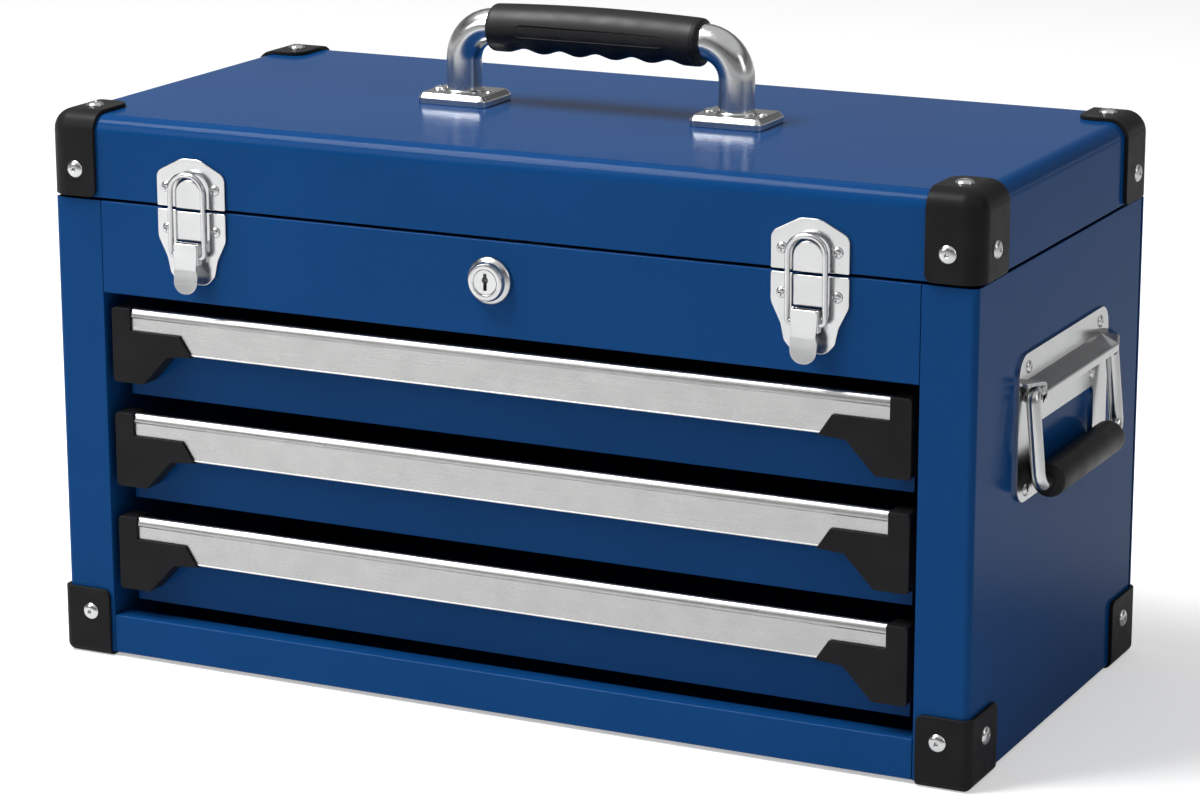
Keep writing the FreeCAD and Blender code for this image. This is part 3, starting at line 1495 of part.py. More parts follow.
def fasteners():
    large = low_head("rivet", q.rivet_radius, q.rivet_height, q.rivet_bevel)
    small = low_head("small_rivet", q.small_rivet_radius, q.small_rivet_height,
                     q.small_rivet_bevel)
    screw = low_head("latch_screw", q.latch_screw_radius, q.latch_screw_height,
                     q.latch_screw_bevel)
    lid_places = guard_rivets(large, lid_foot + q.guard_rivet_lift, lid_top + q.guard_wall, (0, 0, 1))
    foot_top = lid_top + q.foot_height
    for side in (1, -1):
        for reach in (q.foot_rivet_reach, -q.foot_rivet_reach):
            lid_places.append((small, q.handle_half_span * side + reach, ZERO, foot_top, (0, 0, 1)))
    set_heads("lid_rivets", lid_places)
    case_places = guard_rivets(large, case_foot + q.guard_lower_rivet_lift, ZERO, None)
    high = side_plate_high - q.side_rivet_high_drop
    low = side_plate_low + q.side_rivet_low_lift
    middle = side_window_high + q.side_rivet_middle_lift
    for side in (1, -1):
        face = side_plate_out * side
        for hand in (1, -1):
            for reach, level in ((q.side_rivet_low_reach, low), (q.side_rivet_reach, high),
                                 (q.side_rivet_middle_reach, middle)):
                case_places.append((small, face, reach * hand, level, (side, 0, 0)))
    set_heads("case_rivets", case_places)
    plate_face = -depth_half - q.latch_plate
    catch_level = lid_foot + q.latch_edge_gap + q.catch_screw_lift
    base_level = case_top - q.latch_edge_gap - q.base_screw_drop
    for name, level in (("lid_latch_screws", catch_level), ("case_latch_screws", base_level)):
        set_heads(name, [(screw, latch_place * side + reach, plate_face, level, (0, -1, 0))
                         for side in (1, -1)
                         for reach in (q.latch_screw_reach, -q.latch_screw_reach)])


# The whole box

for side, hand in HANDS:
    side_panel("side_panel_" + hand, side)
    slide_upright("slide_upright_" + hand, side)
back_panel()
bottom_panel()
top_front_panel()
tray_floor()

for side, hand in HANDS:
    channels = [slide_channel("slide_channel_%s_%d" % (hand, n), side, drawer_level(n) + slide_level)
                for n in range(1, DRAWERS + 1)]
    keep(group("slide_channels_" + hand, channels), "slide_channels_" + hand)

ball = bearing_ball()
for number in range(1, DRAWERS + 1):
    name = "drawer_%d" % number
    level = drawer_level(number)
    for piece, word in ((drawer_tray(name + "_tray"), "_tray"), (drawer_pull(name + "_pull"), "_pull")):
        move_to(piece, z=level)
        keep(piece, name + word)
    caps = group(name + "_end_caps", [end_cap("%s_cap_%s" % (name, hand), side) for side, hand in HANDS])
    move_to(caps, z=level)
    keep(caps, name + "_end_caps")
    rails = group(name + "_rails", [drawer_rail("%s_rail_%s" % (name, hand), side)
                                    for side, hand in HANDS])
    move_to(rails, z=level + slide_level)
    keep(rails, name + "_rails")
    cages = []
    for side, hand in HANDS:
        cages.append(ball_cage("%s_cage_%s" % (name, hand), side))
        cages.extend(balls("%s_balls_%s" % (name, hand), side, ball))
    cage = group(name + "_ball_cages", cages)
    move_to(cage, z=level + slide_level)
    keep(cage, name + "_ball_cages")

lid_shell()
corner_guards()
hinge_leaf("hinge_leaf_case", -1, 0, (KNUCKLES + 1) // 2)
hinge_leaf("hinge_leaf_lid", 1, 1, KNUCKLES // 2)
hinge_pin()

for side, hand in HANDS:
    latch_catch("latch_catch_" + hand, side)
    latch_base("latch_base_" + hand, side)
    latch_lever("latch_lever_" + hand, side)
    latch_wire("latch_wire_" + hand, side)

lock_housing()
lock_nut()
lock_plug()
lock_cam()
lock_strike()

for side, hand in HANDS:
    handle_foot("handle_foot_" + hand, side)
handle_tube()
handle_grip()

for side, hand in HANDS:
    side_plate("side_handle_plate_" + hand, side)
    side_bail("side_handle_bail_" + hand, side)
    side_grip("side_handle_grip_" + hand, side)

fasteners()

doc.recompute()

for piece in doc.Objects:
    faults = [state for state in piece.State if state in ("Invalid", "Error")]
    if faults:
        raise RuntimeError("%s is %s" % (piece.Label, faults))

os.makedirs("parts", exist_ok=True)
for piece in nodes:
    shape = piece.Shape
    if shape.isNull() or not shape.isValid() or not shape.Solids:
        raise RuntimeError("%s has no sound solid" % piece.Label)
    shape.exportStep(os.path.join("parts", piece.Label + ".step"))
print("wrote %d nodes" % len(nodes))
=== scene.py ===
# %% [markdown]
# # A portable tool box in Blender
#
# This is a lesson in dressing a machine part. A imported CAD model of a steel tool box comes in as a
# fixed frame: sheet-metal case, three drawers on slides, a lid, latches, a lock and handles. Every
# piece keeps its place. What we add is what a camera sees: softened edges, pressed and turned
# details, and finishes such as enamel, chrome, brushed aluminium and rubber.

# %% Load the frame
import json
import math

import bmesh
import bpy
from mathutils import Matrix, Vector

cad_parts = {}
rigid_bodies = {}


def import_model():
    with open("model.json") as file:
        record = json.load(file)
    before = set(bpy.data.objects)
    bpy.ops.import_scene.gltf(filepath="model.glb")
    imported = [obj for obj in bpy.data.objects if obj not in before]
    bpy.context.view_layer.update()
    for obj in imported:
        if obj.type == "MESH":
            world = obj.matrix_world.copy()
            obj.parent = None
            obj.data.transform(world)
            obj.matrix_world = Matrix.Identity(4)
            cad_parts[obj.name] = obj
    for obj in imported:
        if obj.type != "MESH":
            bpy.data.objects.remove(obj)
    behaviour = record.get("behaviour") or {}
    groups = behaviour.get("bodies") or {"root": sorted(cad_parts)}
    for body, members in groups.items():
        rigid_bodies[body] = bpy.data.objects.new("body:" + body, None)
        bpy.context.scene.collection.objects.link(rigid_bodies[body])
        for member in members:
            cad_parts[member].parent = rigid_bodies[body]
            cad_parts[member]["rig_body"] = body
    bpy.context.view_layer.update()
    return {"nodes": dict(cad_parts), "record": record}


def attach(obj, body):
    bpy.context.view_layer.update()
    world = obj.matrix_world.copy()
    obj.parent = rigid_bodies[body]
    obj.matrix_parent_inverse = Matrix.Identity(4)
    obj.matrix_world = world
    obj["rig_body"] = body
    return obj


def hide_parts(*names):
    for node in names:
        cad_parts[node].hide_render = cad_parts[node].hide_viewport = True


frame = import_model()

MM = 0.001

# %% [markdown]
# ## The camera
#
# The photo is taken from the front right and a little above, with a long lens, so that the box
# hardly narrows towards the back. A camera could be aimed with a constraint. Here its place, its
# turns and its lens were all worked out from the photo, so they are set by number. A turn about
# the view's own axis comes first, then the tip down from level, then the turn to the left.

# %% Camera
CAMERA_PLACE = Vector((871.18, -1779.80, 651.60)) * MM
CAMERA_TURN = math.radians(26.064)
CAMERA_TIP = math.radians(90 - 14.465)
CAMERA_ROLL = math.radians(-0.093)
LENS_LENGTH = 114.515
SENSOR_WIDTH = 36

lens = bpy.data.cameras.new("camera")
lens.lens = LENS_LENGTH
lens.sensor_width = SENSOR_WIDTH
camera = bpy.data.objects.new("camera", lens)
bpy.context.scene.collection.objects.link(camera)
camera.matrix_world = (Matrix.Translation(CAMERA_PLACE)
                       @ Matrix.Rotation(CAMERA_TURN, 4, "Z")
                       @ Matrix.Rotation(CAMERA_TIP, 4, "X")
                       @ Matrix.Rotation(CAMERA_ROLL, 4, "Z"))
bpy.context.scene.camera = camera
print("camera at", [round(part, 3) for part in camera.location])

# %% [markdown]
# ## The studio
#
# Bright metal only looks like metal when it has something to mirror. The box stands on white paper
# in a room that is white at the horizon, grey on its walls, dark above them and pale at the
# ceiling. Chrome then shows white below and grey above, which is what gives it contrast. Walls
# could be built as objects, but a ramp over the whole sky does the same with no mesh: it reads how
# high the ray points. That picture is for the camera and for reflections only. As a lamp the room
# is even and dimmer, so the enamel keeps its colour.

# %% The room
ROOM_LIGHT = 0.43
ROOM_TONES = ((0.0, 1.0), (0.1, 0.36), (0.27, 0.36), (0.42, 0.12), (0.75, 0.9))

bpy.context.scene.view_settings.view_transform = "Standard"
world = bpy.data.worlds.new("studio")
bpy.context.scene.world = world
world.use_nodes = True
room = world.node_tree
room.nodes.clear()


def larger(first, second):
    """The larger of two numbers from the node tree of the room."""
    pick = room.nodes.new("ShaderNodeMath")
    pick.operation = "MAXIMUM"
    room.links.new(first, pick.inputs[0])
    room.links.new(second, pick.inputs[1])
    return pick.outputs[0]


paths = room.nodes.new("ShaderNodeLightPath")
looked_at = larger(larger(paths.outputs["Is Camera Ray"], paths.outputs["Is Glossy Ray"]),
                   paths.outputs["Is Transmission Ray"])
direction = room.nodes.new("ShaderNodeTexCoord")
parts = room.nodes.new("ShaderNodeSeparateXYZ")
room.links.new(direction.outputs["Generated"], parts.inputs[0])
walls = room.nodes.new("ShaderNodeValToRGB")
walls.color_ramp.interpolation = "EASE"
while len(walls.color_ramp.elements) < len(ROOM_TONES):
    walls.color_ramp.elements.new(1)
for stop, (height, tone) in zip(walls.color_ramp.elements, ROOM_TONES):
    stop.position = height
    stop.color = (tone, tone, tone, 1)
room.links.new(parts.outputs["Z"], walls.inputs["Fac"])
level = room.nodes.new("ShaderNodeMix")
level.inputs["A"].default_value = ROOM_LIGHT
room.links.new(looked_at, level.inputs["Factor"])
room.links.new(walls.outputs["Color"], level.inputs["B"])
sky = room.nodes.new("ShaderNodeBackground")
room.links.new(level.outputs["Result"], sky.inputs["Strength"])
out = room.nodes.new("ShaderNodeOutputWorld")
room.links.new(sky.outputs[0], out.inputs["Surface"])
print("room", ROOM_LIGHT, "walls", ROOM_TONES)

# %% [markdown]
# ## The paper and the lamps
#
# The floor is one large sheet of white paper that keeps the shadow of the box. Its own colour
# stops short of white. The rest is a little light that only the camera sees. More light from the
# lamps could whiten the paper too, but it would wash out the box. Three soft boxes light it: a
# large share from above left, less from the front left, and a touch from the right, which leaves
# the right side the darkest as in the photo.

# %% The paper floor
PAPER_TONE = 0.78
PAPER_LIFT = 0.42
PAPER_HALF = 6


def new_material(name):
    """A material, its node tree and its shader."""
    made = bpy.data.materials.new(name)
    made.use_nodes = True
    tree = made.node_tree
    return made, tree, tree.nodes["Principled BSDF"]


def lit_floor():
    """White paper: pale as a surface, with a little light of its own to the camera only."""
    made, tree, shader = new_material("paper")
    shader.inputs["Base Color"].default_value = (PAPER_TONE, PAPER_TONE, PAPER_TONE, 1)
    shader.inputs["Roughness"].default_value = 1
    shader.inputs["Specular IOR Level"].default_value = 0
    rays = tree.nodes.new("ShaderNodeLightPath")
    lift = tree.nodes.new("ShaderNodeMath")
    lift.operation = "MULTIPLY"
    lift.inputs[1].default_value = PAPER_LIFT
    tree.links.new(rays.outputs["Is Camera Ray"], lift.inputs[0])
    shader.inputs["Emission Color"].default_value = (1, 1, 1, 1)
    tree.links.new(lift.outputs[0], shader.inputs["Emission Strength"])
    return made


sheet = bmesh.new()
bmesh.ops.create_grid(sheet, x_segments=1, y_segments=1, size=PAPER_HALF)
floor_mesh = bpy.data.meshes.new("floor")
sheet.to_mesh(floor_mesh)
sheet.free()
floor = bpy.data.objects.new("floor", floor_mesh)
floor_mesh.materials.append(lit_floor())
bpy.context.scene.collection.objects.link(floor)
print("paper", 2 * PAPER_HALF, "m across")

# %% The lamps
AIM = (0, 0, 0.18)
# name, place, width and height in metres, watts
LAMPS = (
    ("lamp_left", (-1.6, -1.9, 1.5), 1.1, 1.1, 16),
    ("lamp_right", (2.4, -0.4, 1.3), 0.9, 1.2, 6),
    ("lamp_over", (-1.04, -0.7, 2.33), 1.3, 1.1, 88),
)


def soft_box(name, place, width, height, power):
    """A rectangular lamp that points at the middle of the box."""
    lamp = bpy.data.lights.new(name, "AREA")
    lamp.shape = "RECTANGLE"
    lamp.size = width
    lamp.size_y = height
    lamp.energy = power
    holder = bpy.data.objects.new(name, lamp)
    bpy.context.scene.collection.objects.link(holder)
    turn = (Vector(AIM) - Vector(place)).to_track_quat("-Z", "Y")
    holder.matrix_world = Matrix.Translation(place) @ turn.to_matrix().to_4x4()


for lamp in LAMPS:
    soft_box(*lamp)
print("lamps", [lamp[0] for lamp in LAMPS])

# %% [markdown]
# ## Finishes
#
# Six finishes cover the box. Each is one Principled shader with two or three small patterns added:
# slow ones that vary the colour and the gloss, and a fine one that moves the surface. The patterns
# could be painted pictures, but noise needs no unwrapping. It reads Object coordinates, which on
# these pieces are metres of the real box, so the size of its blotches is true.

# %% Pattern helpers
NOISE_SPAN = (0.3, 0.7)
TINT_SPAN = (0.35, 0.65)


def place_of(tree, scale):
    """The point on the piece, in metres, drawn out or pressed together along each axis."""
    coordinates = tree.nodes.new("ShaderNodeTexCoord")
    mapping = tree.nodes.new("ShaderNodeMapping")
    mapping.inputs["Scale"].default_value = scale
    tree.links.new(coordinates.outputs["Object"], mapping.inputs["Vector"])
    return mapping.outputs["Vector"]


def cloud(tree, size, detail=3, stretch=(1, 1, 1)):
    """A soft pattern whose blotches are about one size across, in metres."""
    noise = tree.nodes.new("ShaderNodeTexNoise")
    noise.inputs["Scale"].default_value = 1 / size
    noise.inputs["Detail"].default_value = detail
    tree.links.new(place_of(tree, stretch), noise.inputs["Vector"])
    return noise.outputs["Fac"]


def between(tree, factor, low, high):
    """Turn a pattern into a number that stays between two limits."""
    spread = tree.nodes.new("ShaderNodeMapRange")
    spread.inputs["From Min"].default_value = NOISE_SPAN[0]
    spread.inputs["From Max"].default_value = NOISE_SPAN[1]
    spread.inputs["To Min"].default_value = low
    spread.inputs["To Max"].default_value = high
    tree.links.new(factor, spread.inputs["Value"])
    return spread.outputs["Result"]


def tinted(tree, shader, factor, dark, light):
    """Vary the colour between two tones with a pattern."""
    ramp = tree.nodes.new("ShaderNodeValToRGB")
    for stop, position, tone in zip(ramp.color_ramp.elements, TINT_SPAN, (dark, light)):
        stop.position = position
        stop.color = (*tone, 1)
    tree.links.new(factor, ramp.inputs["Fac"])
    tree.links.new(ramp.outputs["Color"], shader.inputs["Base Color"])


def raised(tree, shader, factor, depth, strength):
    """Let a pattern stand out of the surface by a depth in metres."""
    bump = tree.nodes.new("ShaderNodeBump")
    bump.inputs["Strength"].default_value = strength
    bump.inputs["Distance"].default_value = depth
    tree.links.new(factor, bump.inputs["Height"])
    tree.links.new(bump.outputs["Normal"], shader.inputs["Normal"])


# %% Enamel
ENAMEL_TONES = ((0.0034, 0.0420, 0.148), (0.0040, 0.0450, 0.158))


def enamel():
    """Blue stoving enamel: a deep colour under a thin clear coat, as wavy as sprayed paint."""
    made, tree, shader = new_material("blue_enamel")
    tinted(tree, shader, cloud(tree, 0.09), *ENAMEL_TONES)
    tree.links.new(between(tree, cloud(tree, 0.03), 0.13, 0.17), shader.inputs["Roughness"])
    shader.inputs["IOR"].default_value = 1.06
    shader.inputs["Coat Weight"].default_value = 0.2
    shader.inputs["Coat IOR"].default_value = 1.25
    shader.inputs["Coat Roughness"].default_value = 0.13
    raised(tree, shader, cloud(tree, 0.0035, 2), 0.00003, 0.15)
    return made


# %% Plastics and rubber
def moulded(name, tone, roughness, grain, depth, bend):
    """Black plastic or rubber with a fine spark-eroded grain."""
    made, tree, shader = new_material(name)
    darker = [part * 0.8 for part in tone]
    tinted(tree, shader, cloud(tree, 0.02), darker, tone)
    low, high = roughness
    tree.links.new(between(tree, cloud(tree, 0.012), low, high), shader.inputs["Roughness"])
    shader.inputs["IOR"].default_value = bend
    raised(tree, shader, cloud(tree, grain, 2), depth, 0.5)
    return made


# %% Metals
def metal(name, tone, roughness, grain, stretch, depth):
    """Bare or plated metal: a tone, a range of gloss, and fine marks drawn out one way."""
    made, tree, shader = new_material(name)
    shader.inputs["Metallic"].default_value = 1
    darker = [part * 0.93 for part in tone]
    tinted(tree, shader, cloud(tree, 0.015), darker, tone)
    low, high = roughness
    marks = cloud(tree, grain, 4, stretch)
    tree.links.new(between(tree, marks, low, high), shader.inputs["Roughness"])
    raised(tree, shader, marks, depth, 0.4)
    return made


# %% The six finishes
# tone, roughness, size and depth of the grain, index of refraction
MOULDINGS = {
    "black_plastic": ((0.0130, 0.0130, 0.0140), (0.30, 0.40), 0.0006, 0.00003, 1.14),
    "rubber": ((0.0085, 0.0085, 0.009), (0.38, 0.48), 0.0004, 0.00002, 1.3),
}
# tone, roughness, size of the marks, how they are drawn out, their depth
METALS = {
    "brushed_aluminium": ((0.45, 0.45, 0.446), (0.25, 0.34), 0.0009, (0.02, 1, 1), 0.00001),
    "zinc_plated_steel": ((0.56, 0.57, 0.58), (0.28, 0.42), 0.003, (1, 1, 1), 0.00001),
    "chrome": ((0.60, 0.605, 0.61), (0.17, 0.22), 0.002, (1, 1, 1), 0.000001),
}
finishes = {"blue_enamel": enamel()}
finishes.update({name: moulded(name, *values) for name, values in MOULDINGS.items()})
finishes.update({name: metal(name, *values) for name, values in METALS.items()})
slot_of = {entry["node"]: entry["material_slot"] for entry in frame["record"]["subparts"]}
for name, node in frame["nodes"].items():
    node.data.materials.clear()
    node.data.materials.append(finishes[slot_of[name]])
print("finishes", sorted(finishes))

# %% [markdown]
# ## Softened edges
#
# No pressed or moulded edge is perfectly sharp, and the thin light line along it is what makes a
# render look real. The frame's solids arrive as loose triangles. For each one we join the copy's
# vertices, merge triangles that lie in one plane back to whole faces, and let a Bevel modifier
# round the sharp edges by a fraction of a millimetre. The bevel could set the shading itself, but
# on folded sheet it tilts the wide faces. A Weighted Normal modifier after it lets the largest
# face at each corner decide, so a flat panel is shaded flat and only its rounded edge turns.

# %% Dress a node
FLAT = math.radians(0.6)
SHARP = math.radians(28)
JOINED = 1e-6


def link_piece(name, mesh, finish, body, nodes):
    """Put a finished mesh into the scene, riding on its body in place of its nodes."""
    piece = bpy.data.objects.new(name, mesh)
    bpy.context.scene.collection.objects.link(piece)
    mesh.materials.clear()
    mesh.materials.append(finishes[finish])
    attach(piece, body)
    if nodes:
        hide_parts(*nodes)
    return piece


def body_of(node):
    """The body that a node of the frame belongs to."""
    return frame["nodes"][node]["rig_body"]


def clean_copy(node):
    """A joined copy of a node's mesh, with its flat faces whole."""
    work = bmesh.new()
    work.from_mesh(frame["nodes"][node].data)
    bmesh.ops.remove_doubles(work, verts=work.verts, dist=JOINED)
    bmesh.ops.dissolve_limit(work, angle_limit=FLAT, verts=work.verts, edges=work.edges)
    return work


def soften(piece, width, segments=2):
    """Round the sharp edges of a piece and shade what is left smoothly."""
    for face in piece.data.polygons:
        face.use_smooth = True
    rounder = piece.modifiers.new("edges", "BEVEL")
    rounder.width = width
    rounder.segments = segments
    rounder.limit_method = "ANGLE"
    rounder.angle_limit = SHARP
    rounder.use_clamp_overlap = True
    flatter = piece.modifiers.new("normals", "WEIGHTED_NORMAL")
    flatter.keep_sharp = True


def dressed(node, width=0.25 * MM, segments=2, change=None):
    """The node's own form, changed by a rule if there is one, with its edges softened."""
    work = clean_copy(node)
    if change:
        change(work)
    mesh = bpy.data.meshes.new(node + "_dressed")
    work.to_mesh(mesh)
    work.free()
    piece = link_piece(node + "_dressed", mesh, slot_of[node], body_of(node), [node])
    soften(piece, width, segments)


# %% [markdown]
# ## Turned pieces
#
# Rivets, screws, collars and grips are round about an axis. In a workshop they are turned or
# headed, and in Blender the same form is half an outline spun once round. A Screw modifier could
# do that too, but a spun bmesh can be cut, joined and copied further. Lengths are written in
# millimetres: how far out from the axis, and how far along it. Each piece is finished by merging
# the doubled points, pointing the faces outwards, and marking the edges that stay sharp.

# %% Spin a half outline
def turned(profile, steps):
    """Spin a half outline about Z, and give back the bmesh."""
    work = bmesh.new()
    points = [work.verts.new(Vector((out, 0, along)) * MM) for out, along in profile]
    lines = [work.edges.new(pair) for pair in zip(points, points[1:])]
    bmesh.ops.spin(work, geom=points + lines, cent=(0, 0, 0), axis=(0, 0, 1),
                   angle=math.tau, steps=steps, use_merge=True)
    return work


def completed(work):
    """Merge doubled points, point the faces outwards, and keep only the steep edges sharp."""
    bmesh.ops.remove_doubles(work, verts=work.verts, dist=2 * JOINED)
    bmesh.ops.recalc_face_normals(work, faces=work.faces)
    for face in work.faces:
        face.smooth = True
    for edge in work.edges:
        edge.smooth = edge.calc_face_angle(0) < SHARP
    return work


def shown(name, work, finish, body, nodes, matrix=None):
    """Complete a bmesh, move it to its place and put it into the scene."""
    if matrix is not None:
        bmesh.ops.transform(work, matrix=matrix, verts=work.verts)
    completed(work)
    mesh = bpy.data.meshes.new(name)
    work.to_mesh(mesh)
    work.free()
    return link_piece(name, mesh, finish, body, nodes)


def moved(place):
    """The move to a place given in millimetres."""
    return Matrix.Translation(Vector(place) * MM)


def faces_out(pointing):
    """The turn that lays the Z axis of a turned piece along a direction."""
    return Vector((0, 0, 1)).rotation_difference(Vector(pointing)).to_matrix().to_4x4()


def added(work, other, matrix=None):
    """Put a second bmesh into the first, moved to its place."""
    mesh = bpy.data.meshes.new("part")
    other.to_mesh(mesh)
    if matrix is not None:
        mesh.transform(matrix)
    work.from_mesh(mesh)
    bpy.data.meshes.remove(mesh)
    return work


# %% [markdown]
# ## Rivets and screws
#
# Pop rivets hold the guards, the feet and the side plates. Each has a low dome with the small dark
# hole that its mandrel leaves. They could be placed by number, but the frame knows where all of
# them stand: every loose head of a node has one large flat face, which is its seat. The latches
# have pan-head screws with a cross. It is cut with a Boolean modifier, the plainest way to sink a
# straight-sided shape into a round one.

# %% Where the heads stand
def seats(node):
    """For each loose head of a node: the middle of its seat, where it points, its radius."""
    work = clean_copy(node)
    work.faces.ensure_lookup_table()
    waiting = set(range(len(work.faces)))
    found = []
    while waiting:
        island, edge = set(), [min(waiting)]
        while edge:
            number = edge.pop()
            if number not in island:
                island.add(number)
                edge += [face.index for line in work.faces[number].edges
                         for face in line.link_faces]
        waiting -= island
        heads = [work.faces[number] for number in sorted(island)]
        seat = max(heads, key=lambda face: face.calc_area())
        middle = seat.calc_center_median()
        reach = max((point.co - middle).length for point in seat.verts)
        found.append((middle, -seat.normal, reach))
    work.free()
    return found


def set_heads(node, template, radius):
    """Copies of one turned head on every seat of a node, each scaled to its own radius."""
    work = bmesh.new()
    for middle, pointing, reach in seats(node):
        size = Matrix.Scale(reach / (radius * MM), 4)
        added(work, template, Matrix.Translation(middle) @ faces_out(pointing) @ size)
    shown(node + "_heads", work, slot_of[node], body_of(node), [node])


# %% Rivets
RIVET_RADIUS = 4.7
rivet = turned([(0, 0.3), (0.75, 0.35), (0.95, 0.7), (1.0, 1.62), (1.3, 1.85), (2.3, 1.78),
                (3.3, 1.45), (4.1, 0.92), (4.55, 0.4), (4.7, 0.1), (4.7, 0), (0, 0)], 40)
for node in ("lid_rivets", "case_rivets"):
    set_heads(node, rivet, RIVET_RADIUS)
print("rivets", len(seats("lid_rivets")) + len(seats("case_rivets")))


# %% Screws
def carved(work, cutter):
    """Cut one bmesh out of another."""
    made = []
    for name, form in (("blank", work), ("cutter", cutter)):
        mesh = bpy.data.meshes.new(name)
        bmesh.ops.recalc_face_normals(form, faces=form.faces)
        form.to_mesh(mesh)
        form.free()
        made.append(bpy.data.objects.new(name, mesh))
        bpy.context.scene.collection.objects.link(made[-1])
    blank, tool = made
    cut = blank.modifiers.new("cut", "BOOLEAN")
    cut.operation = "DIFFERENCE"
    cut.object = tool
    seen = blank.evaluated_get(bpy.context.evaluated_depsgraph_get())
    result = bmesh.new()
    result.from_mesh(seen.to_mesh())
    for piece in made:
        bpy.data.meshes.remove(piece.data)
    return result


def block(low, high):
    """A box between two corners, in millimetres."""
    work = bmesh.new()
    low, high = Vector(low) * MM, Vector(high) * MM
    size = high - low
    place = Matrix.Translation((low + high) / 2) @ Matrix.Diagonal((*size, 1))
    bmesh.ops.create_cube(work, size=1, matrix=place)
    return work


SCREW_RADIUS = 2.9
CROSS_HALF = 1.7
CROSS_WIDE = 0.42
CROSS_FLOOR = 0.2
head = turned([(0, 1.6), (1.2, 1.55), (2.1, 1.3), (2.65, 0.8), (2.9, 0.2), (2.9, 0), (0, 0)], 40)
bmesh.ops.remove_doubles(head, verts=head.verts, dist=JOINED)
screw = head
for x, y in ((CROSS_HALF, CROSS_WIDE), (CROSS_WIDE, CROSS_HALF)):
    screw = carved(screw, block((-x, -y, CROSS_FLOOR), (x, y, 3)))
for node in ("lid_latch_screws", "case_latch_screws"):
    set_heads(node, screw, SCREW_RADIUS)
print("screws", len(seats("lid_latch_screws")) + len(seats("case_latch_screws")))

# %% [markdown]
# ## Bent wire, bail and tube
#
# The latch loops, the side handles and the top handle are rod or tube that was bent on a former:
# straight runs and round bends. A curve with a round section could stand for them. A ring of edges
# that is extruded along each run and spun round each bend gives cleaner rings and needs only the
# start, the direction and the list of moves.

# %% Bend a rod
BEND_STEPS = 10


def points_of(grown):
    """The vertices among the parts that an operator made."""
    return [part for part in grown if isinstance(part, bmesh.types.BMVert)]


def bent_rod(radius, start, heading, moves, sides=24):
    """A rod that runs (length,) or bends (radius, axis), each bend a quarter turn."""
    work = bmesh.new()
    point, heading = Vector(start) * MM, Vector(heading)
    place = Matrix.Translation(point) @ faces_out(heading)
    ring = bmesh.ops.create_circle(work, cap_ends=False, radius=radius * MM, segments=sides,
                                   matrix=place)
    edges = list({edge for vert in ring["verts"] for edge in vert.link_edges})
    for move in moves:
        if len(move) == 1:
            grown = bmesh.ops.extrude_edge_only(work, edges=edges)["geom"]
            step = heading * (move[0] * MM)
            bmesh.ops.translate(work, vec=step, verts=points_of(grown))
            point = point + step
        else:
            axis = Vector(move[1])
            centre = point + axis.cross(heading) * (move[0] * MM)
            grown = bmesh.ops.spin(work, geom=edges, cent=centre, axis=axis, angle=math.pi / 2,
                                   steps=BEND_STEPS)["geom_last"]
            turn = Matrix.Rotation(math.pi / 2, 3, axis)
            point = centre + turn @ (point - centre)
            heading = turn @ heading
        edges = [part for part in grown if isinstance(part, bmesh.types.BMEdge)
                 and len(part.link_faces) < 2]
    bmesh.ops.holes_fill(work, edges=[edge for edge in work.edges if edge.is_boundary], sides=0)
    return work


# %% Latch wires
LATCH_X = 174.4
WIRE_Y = -129.7
LATCHES = (("right", 1), ("left", -1))
for hand, side in LATCHES:
    loop = bent_rod(1.4, (side * LATCH_X - 4.6, WIRE_Y, 228.1), (-1, 0, 0), [
        (2.9,), (2.4, (0, 1, 0)), (31.6,), (9.0, (0, 1, 0)), (1.8,), (9.0, (0, 1, 0)), (31.6,),
        (2.4, (0, 1, 0)), (2.9,)])
    shown("latch_wire_%s_bent" % hand, loop, "chrome", body_of("latch_wire_" + hand),
          ["latch_wire_" + hand])

# %% Side handle bails
LEAN = math.radians(5.7)
BAIL_PIVOT_X = 265.9
BAIL_PIVOT_Z = 186.75
SIDES = (("right", 1), ("left", -1))


def hung(side):
    """The place of a piece that hangs from the pivot of a side handle, leaning a little out."""
    pivot = moved((BAIL_PIVOT_X * side, 0, BAIL_PIVOT_Z))
    return pivot @ Matrix.Rotation(LEAN * side, 4, Vector((0, -1, 0)))


for hand, side in SIDES:
    bail = bent_rod(3.6, (0, -46, 0), (0, -1, 0), [
        (9.2,), (4.6, (1, 0, 0)), (34.0,), (8.0, (1, 0, 0)), (103.6,), (8.0, (1, 0, 0)), (34.0,),
        (4.6, (1, 0, 0)), (9.2,)], 32)
    node = "side_handle_bail_" + hand
    shown(node + "_bent", bail, "chrome", body_of(node), [node], hung(side))

# %% Top handle tube
LID_TOP = 296.6
HANDLE_RISE = 41.8
FOOT_X = 79.5
tube = bent_rod(9.5, (-FOOT_X, 0, LID_TOP), (0, 0, 1), [
    (23.3,), (18.5, (0, 1, 0)), (122.0,), (18.5, (0, 1, 0)), (23.3,)], 48)
shown("handle_tube_bent", tube, "chrome", body_of("handle_tube"), ["handle_tube"])
print("bent", len(LATCHES) + len(SIDES) + 1, "rods")

# %% [markdown]
# ## Flat pressings
#
# The latch plates are stamped from sheet and their edges are rolled smooth. The hook that holds
# the wire is lanced out of its plate, which leaves a dark slot round it. A box model could be cut
# to this shape, but a flat face with rounded corners, given a thickness, is the whole of it. The
# bevel operator rounds the corners of the flat face first, each by its own radius, and a Bevel
# modifier then breaks the edges of the finished plate.

